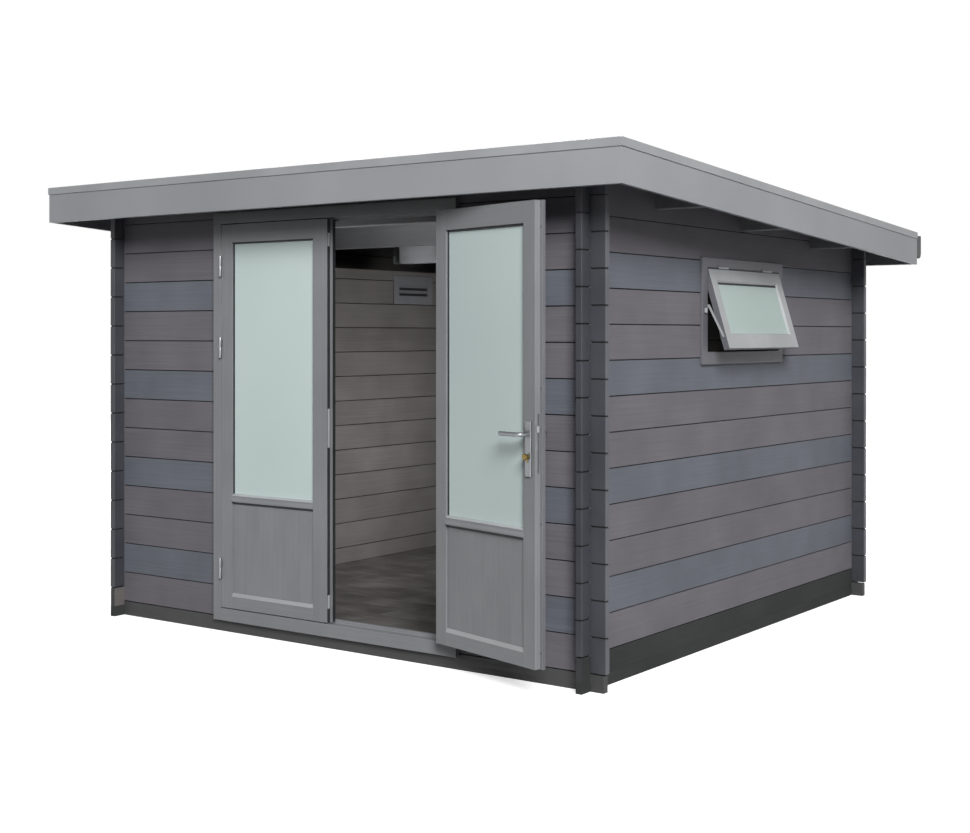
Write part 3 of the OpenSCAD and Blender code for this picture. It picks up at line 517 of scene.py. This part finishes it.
# floor planks over the bearers
planks = {"wide": 182, "long": 1380, "edge": 1.2, "joint": 0.6, "least": 60, "shift": 0.7}
low, high = [Vector(c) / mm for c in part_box("floor_deck")]
bm = newShape()
rows = round((high.y - low.y) / planks["wide"])
wide = (high.y - low.y) / rows
random.seed(12)
joint = planks["joint"]
for row in range(rows):
    x = low.x - random.uniform(0, planks["long"] * planks["shift"])
    y0, y1 = low.y + row * wide + joint, low.y + (row + 1) * wide - joint
    while x < high.x:
        x0, x1 = max(x, low.x), min(x + planks["long"], high.x)
        if x1 - x0 > planks["least"]:
            addBar(bm, (x0 + joint, y0, low.z), (x1 - joint, y1, high.z), planks["edge"], "x",
                   random.uniform(0, 40))
        x += planks["long"]
putPiece(bm, "floor_planks", "cabin", (floorLaminate,), ("floor_deck",))
print("floor laid")

# roof: boards on the purlins, membrane, edge boards, trim and gutter
roof = {"board": 114, "edge": 2.5, "joint": 0.5, "depth": (0.3, 18)}
low, high = [Vector(c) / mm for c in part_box("roof_deck")]
bm = newShape()
count = round((high.x - low.x) / roof["board"])
wide = (high.x - low.x) / count
for i in range(count):
    x0, x1 = low.x + i * wide + roof["joint"], low.x + (i + 1) * wide - roof["joint"]
    addBar(bm, (x0, low.y, roof["depth"][0]), (x1, high.y, roof["depth"][1]), roof["edge"], "y", i * 3)
slope = Matrix.Identity(4)
slope[2][1] = -walls["fall"]
slope[2][3] = (walls["deckFront"] + walls["fall"] * frontY) * mm
bmesh.ops.transform(bm, matrix=slope, verts=bm.verts)
putPiece(bm, "roof_boards", "cabin", (ceilingWood,), ("roof_deck",))
dressNode("roof_purlins", purlinWood, 0.8)
dressNode("roof_sheet", membrane)
for side in ("front", "back", "left", "right"):
    dressNode("fascia_" + side, fasciaSkin, 1.5)
for side in ("front", "left", "right"):
    dressNode("roof_trim_" + side, trimCoat, 1.2)
dressNode("gutter", gutterVinyl, 0.8)
print("roof covered")

# door frame keeps its CAD shape
dressNode("door_jamb_left", jambPaint, 1.5)
dressNode("door_jamb_right", jambPaint, 1.5)
dressNode("door_head", railPaint, 1.5)
dressNode("door_sill", railPaint, 2.5)
# draught strips in the frame's side gaps
strips = {"x": ((-669.2, -664.6), (710.6, 715.2)), "y": (-1419.5, -1402), "z": (124, 1989)}
bm = newShape()
for x0, x1 in strips["x"]:
    addBar(bm, (x0, strips["y"][0], strips["z"][0]), (x1, strips["y"][1], strips["z"][1]), 0.6, "z")
putPiece(bm, "frame_draught_strips", "cabin", (jambPaint,))

# door leaves, built shut and turned to where they stand
leaf = {
    "front": -1422.5, "back": -1382.5, "z0": 123, "z1": 1990, "hingeStile": 71, "meetingStile": 89,
    "panelZ0": 198, "panelZ1": 642, "glassZ0": 680, "glassZ1": 1902, "pane": 14, "panel": 24, "boards": 6,
    "lipT": 14, "lipFront": -1403.5, "bead": 6, "beadH": (7, 20), "slope": 17, "land": 2,
    "ledge": 8, "edge": 0.4, "railEdge": 0.8, "sealEdge": 0.6, "dripEdge": 0.5, "boardEdge": 0.7,
    "boardGap": 0.05,
    "leftX": (-664, 25.5, 40.5), "rightX": (30.5, 48, 710),
    "rightAxis": (712.5, -1429.8, 0), "rightAngle": 164, "seal": (8, 4), "drip": (12, 2),
}
mid = (leaf["front"] + leaf["back"]) / 2


def railProfile(kind):
    f, b = leaf["front"], leaf["back"]
    if kind == "bottom":
        land = leaf["panel"] / 2 + leaf["land"]
        z0, z1 = leaf["z0"], leaf["panelZ0"]
        knee = z1 - leaf["slope"]
        return [(f, z0), (f, knee), (mid - land, z1), (mid + land, z1), (b, knee), (b, z0)]
    z0, z1 = leaf["panelZ1"], leaf["glassZ0"]
    pane, bead, knee = leaf["pane"] / 2, leaf["bead"], z1 - leaf["ledge"]
    zBead, zFlat = z0 + leaf["beadH"][0], z0 + leaf["beadH"][1]
    return [(f - bead, z0), (f - bead, zBead), (f, zFlat), (f, knee), (mid - pane, z1),
            (mid + pane, z1), (b, knee), (b, zFlat), (b + bead, zBead), (b + bead, z0)]


def leafShape(hingeX, freeX, stileA, meetingPlan):
    # stiles and rails of one leaf
    bm = newShape()
    x0, x1 = sorted((hingeX, stileA))
    addBar(bm, (x0, leaf["front"], leaf["z0"]), (x1, leaf["back"], leaf["z1"]), leaf["edge"], "z", 1)
    addOutline(bm, meetingPlan, "xy", leaf["z0"], leaf["z1"], leaf["edge"], "all", "z", 2)
    left, right = sorted((stileA, freeX))
    addBar(bm, (left, leaf["front"], leaf["glassZ1"]), (right, leaf["back"], leaf["z1"]), leaf["edge"],
           "x", 3)
    addOutline(bm, railProfile("bottom"), "yz", left, right, leaf["railEdge"], "long", "x", 4)
    addOutline(bm, railProfile("middle"), "yz", left, right, leaf["railEdge"], "long", "x", 5)
    # the rails' sloped tops, which face up, take the pale aluminium: partly a weather bar, partly a painted
    # highlight from above
    for face in bm.faces:
        z = face.calc_center_median().z / mm
        sloped = 0.2 < face.normal.z < 0.97 and abs(face.normal.x) < 0.1
        onBottom = 0 < leaf["panelZ0"] + 1 - z < leaf["slope"] + 2
        onMiddle = 0 < leaf["glassZ0"] + 1 - z < leaf["ledge"] + 2
        if sloped and (onBottom or onMiddle):
            face.material_index = 1
    return bm, left, right


def leafFilling(left, right):
    # etched pane, its seals and the boarded panel
    pane, seals, boards = newShape(), newShape(), newShape()
    half, edge = leaf["pane"] / 2, leaf["sealEdge"]
    addBar(pane, (left, mid - half, leaf["glassZ0"]), (right, mid + half, leaf["glassZ1"]), edge, "z")
    # black seals at the pane's sides and top: real glazing seals, made wide so that they also paint the
    # recess's shade
    sealW, sealT = leaf["seal"]
    dripH, dripT = leaf["drip"]
    for side in (-1, 1):
        y0, y1 = sorted((mid + side * half, mid + side * (half + sealT)))
        for x in (left, right - sealW):
            addBar(seals, (x, y0, leaf["glassZ0"] + 2), (x + sealW, y1, leaf["glassZ1"]), edge, "z")
        addBar(seals, (left, y0, leaf["glassZ1"] - sealW), (right, y1, leaf["glassZ1"]), edge, "x")
        # black strip on the panel under the middle rail's bead: a painted shadow
        face = mid + side * leaf["panel"] / 2
        y0, y1 = sorted((face, face + side * dripT))
        addBar(seals, (left, y0, leaf["panelZ1"] - dripH), (right, y1, leaf["panelZ1"]), leaf["dripEdge"],
               "x")
    wide, gap = (right - left) / leaf["boards"], leaf["boardGap"]
    for i in range(leaf["boards"]):
        addBar(boards, (left + i * wide + gap, mid - leaf["panel"] / 2, leaf["panelZ0"]),
               (left + (i + 1) * wide - gap, mid + leaf["panel"] / 2, leaf["panelZ1"]),
               leaf["boardEdge"], "z", 10 + i)
    return pane, seals, boards


x0, x1, lip = leaf["leftX"]
inner = x1 - leaf["meetingStile"]
plan = [(inner, leaf["front"]), (x1, leaf["front"]), (x1, leaf["lipFront"]), (lip, leaf["lipFront"]),
        (lip, leaf["back"]), (inner, leaf["back"])]
shape, left, right = leafShape(x0, inner, x0 + leaf["hingeStile"], plan)
pane, seals, boards = leafFilling(left, right)
# thin black strips over the faces of the rebated free edge: painted shade
addBar(seals, (x1, leaf["front"] + 0.6, leaf["z0"] + 1),
       (x1 + 0.4, leaf["lipFront"] - 0.2, leaf["z1"] - 1), 0, "z")
addBar(seals, (lip, leaf["lipFront"] + 1.5, leaf["z0"] + 3),
       (lip + 0.8, leaf["back"] - 1, leaf["z1"] - 3), 0, "z")
putPiece(shape, "left_leaf_joinery", "left_leaf", (doorPaint, paleMetalAndHighlight), ("left_leaf_frame",))
putPiece(pane, "left_leaf_pane", "left_leaf", (etchedGlass,), ("left_leaf_glass",))
putPiece(seals, "left_leaf_seals", "left_leaf", (blackSealAndShade,))
putPiece(boards, "left_leaf_boards", "left_leaf", (doorPaint,), ("left_leaf_panel",))

lip, x0, x1 = leaf["rightX"]
inner = lip + leaf["meetingStile"]
lipBack = leaf["front"] + leaf["lipT"]
plan = [(lip, leaf["front"]), (inner, leaf["front"]), (inner, leaf["back"]), (x0, leaf["back"]),
        (x0, lipBack), (lip, lipBack)]
shape, left, right = leafShape(x1, inner, x1 - leaf["hingeStile"], plan)
pane, seals, boards = leafFilling(left, right)


def openRight(bm):
    turnShape(bm, leaf["rightAngle"], "Z", leaf["rightAxis"])
    return bm


putPiece(openRight(shape), "right_leaf_joinery", "right_leaf", (doorPaint, paleMetalAndHighlight),
         ("right_leaf_frame",))
putPiece(openRight(pane), "right_leaf_pane", "right_leaf", (etchedGlass,), ("right_leaf_glass",))
putPiece(openRight(seals), "right_leaf_seals", "right_leaf", (blackSealAndShade,))
putPiece(openRight(boards), "right_leaf_boards", "right_leaf", (doorPaint,), ("right_leaf_panel",))
# painted strip along the lip's end, darker as painted shade, and the screws that hold it
lipStrip = {"proud": 0.8, "deep": 0.5, "short": 2, "screws": (188, 700, 1242, 1884), "screwIn": 8,
            "screwR": 4.0}
short = lipStrip["short"]
bm = newShape()
addBar(bm, (lip - lipStrip["proud"], leaf["front"] + short, leaf["z0"] + short),
       (lip + lipStrip["deep"], lipBack - short, leaf["z1"] - short), 0.4, "z")
for z in lipStrip["screws"]:
    x = x0 - lipStrip["screwIn"]
    addRod(bm, (x, lipBack - 0.5, z), (x, lipBack + 1.2, z), lipStrip["screwR"], 0.6)
putPiece(openRight(bm), "right_leaf_edge_strip", "right_leaf", (greyWithPaintedShade,))
print("door leaves joined")

# door furniture
lock = {
    "spindle": (83.75, 1057), "plate": (36, 223, 8), "above": 0.24, "rose": 12.5, "screwIn": 16,
    "screwR": 4.5, "screwProud": 1.2,
    "leverOff": 44.8, "leverL": 125, "leverR": 9, "bend": 20, "nose": 4, "spindleR": 4.5,
    "cylinderZ": 968, "cylinderR": 8.5, "knobR": 12.5, "knobL": 20, "knobOff": 8, "keyhole": (4, 24, 2.5),
    "cylinderOut": 3,
    "face": (20, 238, 3), "faceZ0": 902.5, "faceProud": 0.8, "faceScrew": 12, "faceScrewR": 4.0,
    "latch": (6, 8, 34), "bolt": (2, -64, -26), "boltW": 6,
}
sx, sz = lock["spindle"]
plateW, plateH, plateT = lock["plate"]
plateTop = sz + plateH * lock["above"]
plateFront, plateBack = leaf["front"] - plateT, leaf["back"] + plateT
bm = newShape()
for y0, y1 in ((plateFront, leaf["front"]), (leaf["back"], plateBack)):
    addBar(bm, (sx - plateW / 2, y0, plateTop - plateH), (sx + plateW / 2, y1, plateTop), 3.0, "z", 0, 0, 3)
    outside, reach = (y0, -lock["screwProud"]) if y0 < mid else (y1, lock["screwProud"])
    for z in (plateTop - lock["screwIn"], plateTop - plateH + lock["screwIn"]):
        addRod(bm, (sx, outside - reach, z), (sx, outside + reach, z), lock["screwR"], 0.6)
    addRod(bm, (sx, outside - reach, sz), (sx, outside + reach * 3, sz), lock["rose"], 0.8)
putPiece(openRight(bm), "lock_backplates", "right_leaf", (satinSteel,), ("right_leaf_backplates",))

# faceplate with latch and bolt in the leaf's edge
bm = newShape()
faceW, faceH, faceT = lock["face"]
faceY, z0 = (lipBack + leaf["back"]) / 2, lock["faceZ0"]
proud = lock["faceProud"]
addBar(bm, (x0 - proud, faceY - faceW / 2, z0), (x0 + faceT, faceY + faceW / 2, z0 + faceH), 0.7, "z")
for z in (z0 + lock["faceScrew"], z0 + faceH - lock["faceScrew"]):
    addRod(bm, (x0, faceY, z), (x0 - 2 * proud, faceY, z), lock["faceScrewR"], 0.5)
half = lock["boltW"]
for (out, z0, z1), edge, tone in ((lock["latch"], 1.5, 1), (lock["bolt"], 1.0, 0)):
    addBar(bm, (x0 - out, faceY - half, sz + z0), (x0, faceY + half, sz + z1), edge, "z", 0, tone)
putPiece(openRight(bm), "lock_faceplate", "right_leaf", (satinSteel, paleMetalAndHighlight),
         ("right_leaf_lock",))

# cylinder with a knob inside, and the keyhole covers
bm = newShape()
cz, knobY = lock["cylinderZ"], plateBack + lock["knobOff"]
addRod(bm, (sx, plateFront - lock["cylinderOut"], cz), (sx, knobY, cz), lock["cylinderR"], 0.8)
addRod(bm, (sx, knobY, cz), (sx, plateBack + lock["knobL"], cz), lock["knobR"], 3.0)
holeW, holeH, holeT = lock["keyhole"]
for y in (plateFront - holeT, plateBack):
    addBar(bm, (sx - holeW, y, cz - holeH), (sx + holeW, y + holeT, cz), 1.2, "z")
putPiece(openRight(bm), "lock_cylinder", "right_leaf", (lockBrass,), ("right_leaf_cylinder",))


def addLever(bm, face, outwards):
    # a round bar: out of the backplate, through an elbow, along the leaf
    known = set(bm.verts)
    radius, bend = lock["leverR"] * mm, lock["bend"] * mm
    start = Vector((sx, face, sz)) * mm
    place = Matrix.Translation(start) @ Matrix.Rotation(math.radians(90), 4, "X")
    ring = bmesh.ops.create_circle(bm, cap_ends=True, segments=24, radius=radius, matrix=place)
    cap = next(f for f in ring["verts"][0].link_faces)
    reach = (lock["leverOff"] * mm - bend) * outwards
    step = bmesh.ops.extrude_face_region(bm, geom=[cap])["geom"]
    bmesh.ops.translate(bm, vec=(0, reach, 0), verts=vertsOf(step))
    end = facesOf(step)
    swept = bmesh.ops.spin(bm, geom=end + list(end[0].edges) + list(end[0].verts),
                           cent=start + Vector((bend, reach, 0)), axis=(0, 0, 1),
                           angle=math.radians(-90 * outwards), steps=8)["geom_last"]
    last = bmesh.ops.extrude_face_region(bm, geom=facesOf(swept))["geom"]
    bmesh.ops.translate(bm, vec=(lock["leverL"] * mm - bend, 0, 0), verts=vertsOf(last))
    softenEdges(bm, facesOf(last)[0].edges, lock["nose"] * mm, 3)
    bmesh.ops.remove_doubles(bm, verts=[v for v in bm.verts if v not in known], dist=0.00001)
    bmesh.ops.recalc_face_normals(bm, faces=list(freshFaces(bm, known)))
    tell(bm, known, "x", 0)


bm = newShape()
addLever(bm, plateBack, 1)
addLever(bm, plateFront, -1)
addRod(bm, (sx, plateFront, sz), (sx, plateBack, sz), lock["spindleR"], 0.3)
putPiece(openRight(bm), "door_levers", "lever", (satinSteel,), ("lever_handle",))

# plates in the left leaf's free edge
edgePlates = {"z": ((188, 250), (1862.7, 1924.7), (931.5, 1111.5)), "half": 7, "deep": 3, "proud": 0.8,
              "screwIn": 8, "screwR": 3.0, "screwProud": 1.5}
bm = newShape()
edgeX, half = leaf["leftX"][1], edgePlates["half"]
plateY = (leaf["front"] + leaf["lipFront"]) / 2
for z0, z1 in edgePlates["z"]:
    addBar(bm, (edgeX - edgePlates["deep"], plateY - half, z0),
           (edgeX + edgePlates["proud"], plateY + half, z1), 0.7, "z")
    for z in (z0 + edgePlates["screwIn"], z1 - edgePlates["screwIn"]):
        head = (edgeX + edgePlates["screwProud"], plateY, z)
        addRod(bm, (edgeX, plateY, z), head, edgePlates["screwR"], 0.4)
putPiece(bm, "edge_plates", "left_leaf", (paleMetalAndHighlight,), ("left_leaf_bolts",))
for node in ("frame_hinges", "left_leaf_hinges", "right_leaf_hinges"):
    dressNode(node, satinSteel, 0.6)
print("door furniture fitted")

# top-hung window
# the casing's grey has its shade painted in
dressNode("window_casing", greyWithPaintedShade, 2.0)
sash = {
    "member": 65, "bottom": 73, "thick": 30, "gap": 3, "lining": 29, "angle": 16.5, "splay": 9, "sunk": 9,
    "edge": 1.2, "axis": (1456.3, 1766), "glass": (15, 0.6), "seal": (9, 0.8, 2), "sink": 0.5,
}
room = sash["lining"] + sash["gap"]
yLow, yHigh = windowCut[0] + room, windowCut[1] - room
zLow, zHigh = windowCut[2] + room, windowCut[3] - room
outerX = casingHigh.x / mm
innerX, fixX = outerX - sash["thick"], outerX - sash["sink"]
hang = (sash["axis"][0], 0, sash["axis"][1])


def hangSash(bm):
    turnShape(bm, -sash["angle"], "Y", hang)
    return bm


def addSash(bm):
    # a box, sunk on both faces and opened through: splayed outside, square inside
    known = set(bm.verts)
    low, high = Vector((innerX, yLow, zLow)) * mm, Vector((outerX, yHigh, zHigh)) * mm
    made = bmesh.ops.create_cube(bm, size=1)["verts"]
    bmesh.ops.scale(bm, vec=high - low, verts=made)
    bmesh.ops.translate(bm, vec=(low + high) / 2, verts=made)
    holes, member, splay = [], sash["member"], sash["splay"]
    for way, steps in ((1, ((member - splay, 0), (splay, -sash["sunk"]))), (-1, ((member, 0),))):
        face = next(f for f in bm.faces if f.normal.x * way > 0.9)
        for width, depth in steps:
            bmesh.ops.inset_region(bm, faces=[face], thickness=width * mm, depth=depth * mm,
                                   use_even_offset=True)
        holes.append(face)
    # the bottom member is taller: its inner rims move up
    middle = (low.z + high.z) / 2
    raised = {v for f in holes for v in f.verts if v.co.z < middle}
    beside = {e.other_vert(v) for v in holes[0].verts for e in v.link_edges}
    raised |= {v for v in beside if v.co.z < middle and abs(v.co.z - low.z) > 0.01}
    bmesh.ops.translate(bm, vec=(0, 0, (sash["bottom"] - member) * mm), verts=list(raised))
    rims = [e for f in holes for e in f.edges]
    bmesh.ops.delete(bm, geom=holes, context="FACES_ONLY")
    bmesh.ops.bridge_loops(bm, edges=rims)
    softenEdges(bm, {e for e in freshEdges(bm, known) if e.calc_face_angle(0) > 0.5}, sash["edge"] * mm)
    tell(bm, known, "y", 3)
    # the side edges are darker: painted shade, in the casing's grey
    for face in bm.faces:
        y = face.calc_center_median().y
        if abs(face.normal.x) < 0.1 and min(abs(y - low.y), abs(y - high.y)) < 0.002:
            face.material_index = 1


bm = newShape()
addSash(bm)
putPiece(hangSash(bm), "window_joinery", "cabin", (sashPaint, greyWithPaintedShade), ("window_sash",))
# its pane, and a black strip along the pane's top, painted as the shade under the sash's top member
paneX, m = outerX - sash["sunk"], sash["member"]
deep, back = sash["glass"]
bm = newShape()
addBar(bm, (paneX - deep, yLow + m, zLow + sash["bottom"]), (paneX - back, yHigh - m, zHigh - m), 0.3, "z")
putPiece(hangSash(bm), "window_pane", "cabin", (windowGlass,), ("window_glass",))
tall, deep, proud = sash["seal"]
bm = newShape()
addBar(bm, (paneX - deep, yLow + m, zHigh - m - tall), (paneX + proud, yHigh - m, zHigh - m), 0.6, "y")
putPiece(hangSash(bm), "window_top_shade", "cabin", (blackSealAndShade,))
# two barrel hinges over the sash, their plates painted over in the casing's grey, which has its shade painted
# in
barrel = {"long": 94, "radius": 4.6, "share": 0.31, "knuckles": 3, "pin": 0.7, "plate": (2, 14),
          "strip": (8, 1), "jointShadeOut": 2.5, "gap": 0.5, "over": 2}
bm = newShape()
plates = newShape()
hx, hz = sash["axis"]
plateT, plateH = barrel["plate"]
for side in (-1, 1):
    y0 = (yLow + yHigh) / 2 + side * (yHigh - yLow) * barrel["share"] - barrel["long"] / 2
    each = barrel["long"] / barrel["knuckles"]
    for i in range(barrel["knuckles"]):
        addRod(bm, (hx, y0 + i * each + barrel["gap"], hz), (hx, y0 + (i + 1) * each - barrel["gap"], hz),
               barrel["radius"], 0.8)
    pinLow, pinHigh = y0 - barrel["over"], y0 + barrel["long"] + barrel["over"]
    addRod(bm, (hx, pinLow, hz), (hx, pinHigh, hz), barrel["radius"] * barrel["pin"], 0.8)
    addBar(plates, (fixX, y0, hz), (outerX + plateT, y0 + barrel["long"], hz + plateH), 0.5, "y")
    addBar(plates, (outerX + plateT, y0, hz - 1), (hx, y0 + barrel["long"], hz + 1), 0, "y")
# bracket of the stay on the casing
bracket = {"y": (14, 30), "z": (1553, 1577), "proud": 11, "edge": 4.0}
y0, y1 = [casingLow.y / mm + y for y in bracket["y"]]
z0, z1 = bracket["z"]
addBar(bm, (fixX, y0, z0), (outerX + bracket["proud"], y1, z1), bracket["edge"], "z", 0, 0, 3)
putPiece(bm, "window_barrels", "cabin", (paleMetalAndHighlight,), ("window_hinges",))
# black strip over the sash's top, painted as the shade in the joint under the casing
jointShadeLow, jointShadeHigh = [hz - drop for drop in barrel["strip"]]
addBar(plates, (fixX, yLow, jointShadeLow), (outerX + barrel["jointShadeOut"], yHigh, jointShadeHigh), 0.6, "y", 0, 1)
putPiece(plates, "window_hinge_plates", "cabin", (greyWithPaintedShade, blackSealAndShade))

# flat stays from the casing's brackets down to the sash's side edges
stay = {"start": (1457, 1585), "end": (1530, 1447), "half": 5, "thick": 3.2, "pinR": 4.0, "foot": (3, 8)}
bm = newShape()
start, end = Vector(stay["start"]), Vector(stay["end"])
side = (end - start).orthogonal().normalized() * stay["half"]
bar = [tuple(c) for c in (start + side, end + side, end - side, start - side)]
footX, footZ = stay["foot"]
for y0 in (yLow - 1 - stay["thick"], yHigh + 1):
    y1 = y0 + stay["thick"]
    addOutline(bm, bar, "xz", y0, y1, 0.5, "rims", "z")
    for x, z in (stay["start"], stay["end"]):
        addRod(bm, (x, y0 - 1, z), (x, y1 + 1, z), stay["pinR"], 0.6)
    addBar(bm, (fixX, y0 - 1, start.y - footZ), (start.x + footX, y1 + 1, start.y + footZ), 1.2, "z")
putPiece(bm, "window_stay_bars", "cabin", (paleMetalAndHighlight,), ("window_stays",))

# vent cover on the inner face of the left wall: a plate with a slot, and slats in front of a black back that
# paints the shade in the opening
vent = {"rim": 54, "thick": 6, "slats": 2, "back": 1.5}
slat = ((2, 0.9), (4, 1.0), (9, 0.5), (7, 0.45))
low, high = [Vector(c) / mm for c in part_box("vent_cover")]
y0, y1, z0, z1 = low.y + vent["rim"], high.y - vent["rim"], low.z + vent["rim"], high.z - vent["rim"]
bm = newShape()
for a, b, c, d in ((low.y, high.y, low.z, z0), (low.y, high.y, z1, high.z),
                   (low.y, y0, z0, z1), (y1, high.y, z0, z1)):
    addBar(bm, (low.x, a, c), (low.x + vent["thick"], b, d), 0, "y")
# black back: painted shade in the slot
addBar(bm, (low.x, y0, z0), (low.x + vent["back"], y1, z1), 0, "y", 0, 1)
pitch = (z1 - z0) / vent["slats"]
for i in range(vent["slats"]):
    points = [(low.x + out, z0 + (i + share) * pitch) for out, share in slat]
    addOutline(bm, points, "xz", y0, y1, 0, "rims", "y", i)
putPiece(bm, "vent_grille", "cabin", (ventCoat, blackSealAndShade), ("vent_cover",))
print("window and vent fitted")

# studio: pale floor, faint dome, soft key and back light, small lamps in the room
studio = {
    "floor": 0.95, "bounce": 0.04, "lift": 0.6, "near": 3.5, "far": 12.0, "size": 40, "below": 0.001,
    "domeLow": 0.42, "domeHigh": 0.75, "rest": 0.02, "dome": 0.12,
    "card": (0.165, 1.65), "cardPlace": (-1.36, 0.475, 1.9275),
}
lamps = (  # name, power, place, aim, width, height, spread
    ("keyLight", 3000, (10.4, -11.0, 8.9), (1.0, -1.0, 1.0), 6.0, 6.0, 180),
    ("backLight", 1900, (-9.5, 10.5, 8.0), (-1.0, 1.0, 1.0), 6.0, 6.0, 180),
    ("roomLamp", 8.8, (1.25, 0.55, 0.95), (-1.4, 0.42, 0.9), 1.2, 0.45, 74),
    ("doorwayLamp", 2.7, (-0.2, -1.15, 1.2), (-0.36, -0.3, 2.15), 1.2, 0.2, 70),
    ("purlinLamp", 0.27, (-1.15, 0.3, 1.5), (-1.18, 0.81, 1.95), 0.3, 0.1, 44),
)


def seenRays(tree):
    # 1 where the camera sees it, directly, mirrored or through glass
    rays = addNode(tree, "ShaderNodeLightPath").outputs
    seen = addNode(tree, "ShaderNodeMath", {0: rays["Is Camera Ray"], 1: rays["Is Glossy Ray"]},
                   operation="MAXIMUM").outputs[0]
    return addNode(tree, "ShaderNodeMath", {0: seen, 1: rays["Is Transmission Ray"]},
                   operation="MAXIMUM").outputs[0]


def addSheet(bm, name, finish):
    mesh = bpy.data.meshes.new(name)
    bm.to_mesh(mesh)
    bm.free()
    mesh.materials.append(finish)
    sheet = bpy.data.objects.new(name, mesh)
    scene.collection.objects.link(sheet)
    return sheet


def addLamp(name, power, place, aim, width, height, spread):
    lamp = bpy.data.lights.new(name, "AREA")
    lamp.energy = power
    lamp.shape = "RECTANGLE"
    lamp.size, lamp.size_y = width, height
    lamp.spread = math.radians(spread)
    holder = bpy.data.objects.new(name, lamp)
    holder.location = place
    holder.rotation_euler = (Vector(aim) - Vector(place)).to_track_quat("-Z", "Y").to_euler()
    holder.visible_camera = False
    scene.collection.objects.link(holder)


# paper that throws little light back, lifted to white where it is seen, so that only the shadow stays
paper, tree, skin = startFinish("studioPaper", {"Roughness": 0.9, "Specular IOR Level": 0.0,
                                                "Emission Color": (1, 1, 1, 1)})
seen = seenRays(tree)
pale = addNode(tree, "ShaderNodeMapRange",
               {"Value": seen, "To Min": studio["bounce"], "To Max": studio["floor"]})
tree.links.new(pale.outputs["Result"], skin.inputs["Base Color"])
spot = addNode(tree, "ShaderNodeTexCoord").outputs["Object"]
away = addNode(tree, "ShaderNodeVectorMath", {0: spot}, operation="LENGTH").outputs["Value"]
fade = addNode(tree, "ShaderNodeMapRange",
               {"Value": away, "From Min": studio["near"], "From Max": studio["far"],
                "To Min": studio["lift"], "To Max": 1.0})
lift = addNode(tree, "ShaderNodeMath", {0: seen, 1: fade.outputs["Result"]}, operation="MULTIPLY")
tree.links.new(lift.outputs[0], skin.inputs["Emission Strength"])
bm = bmesh.new()
bmesh.ops.create_grid(bm, x_segments=1, y_segments=1, size=studio["size"])
studioFloor = addSheet(bm, "studioFloor", paper)
studioFloor.location = (0, 0, -studio["below"])

world = bpy.data.worlds.new("studioDome")
scene.world = world
world.use_nodes = True
tree = world.node_tree
tree.nodes.clear()
way = addNode(tree, "ShaderNodeTexCoord").outputs["Generated"]
axes = addNode(tree, "ShaderNodeSeparateXYZ", {"Vector": way}).outputs
glow = addNode(tree, "ShaderNodeMapRange", {"Value": axes["Z"], "From Min": studio["domeLow"],
                                           "From Max": studio["domeHigh"]}, interpolation_type="SMOOTHSTEP")
level = addNode(tree, "ShaderNodeMath", {0: glow.outputs["Result"], 1: studio["dome"], 2: studio["rest"]},
                operation="MULTIPLY_ADD")
light = addNode(tree, "ShaderNodeBackground", {"Color": (1, 1, 1, 1), "Strength": level.outputs[0]})
white = addNode(tree, "ShaderNodeBackground", {"Color": (1, 1, 1, 1), "Strength": 1.0})
mixed = addNode(tree, "ShaderNodeMixShader", {0: seenRays(tree), 1: light.outputs[0], 2: white.outputs[0]})
addNode(tree, "ShaderNodeOutputWorld", {"Surface": mixed.outputs[0]})

for lamp in lamps:
    addLamp(*lamp)
# a card keeps the lamps off the top of the left wall
bm = bmesh.new()
bmesh.ops.create_grid(bm, x_segments=1, y_segments=1, size=0.5)
bmesh.ops.scale(bm, vec=(*studio["card"], 1), verts=bm.verts)
bmesh.ops.rotate(bm, cent=(0, 0, 0), matrix=Matrix.Rotation(math.radians(90), 3, "Y"), verts=bm.verts)
bmesh.ops.translate(bm, vec=studio["cardPlace"], verts=bm.verts)
shadeCard = addSheet(bm, "shadeCard", blackSealAndShade)
shadeCard.visible_camera = False
print("studio lit")
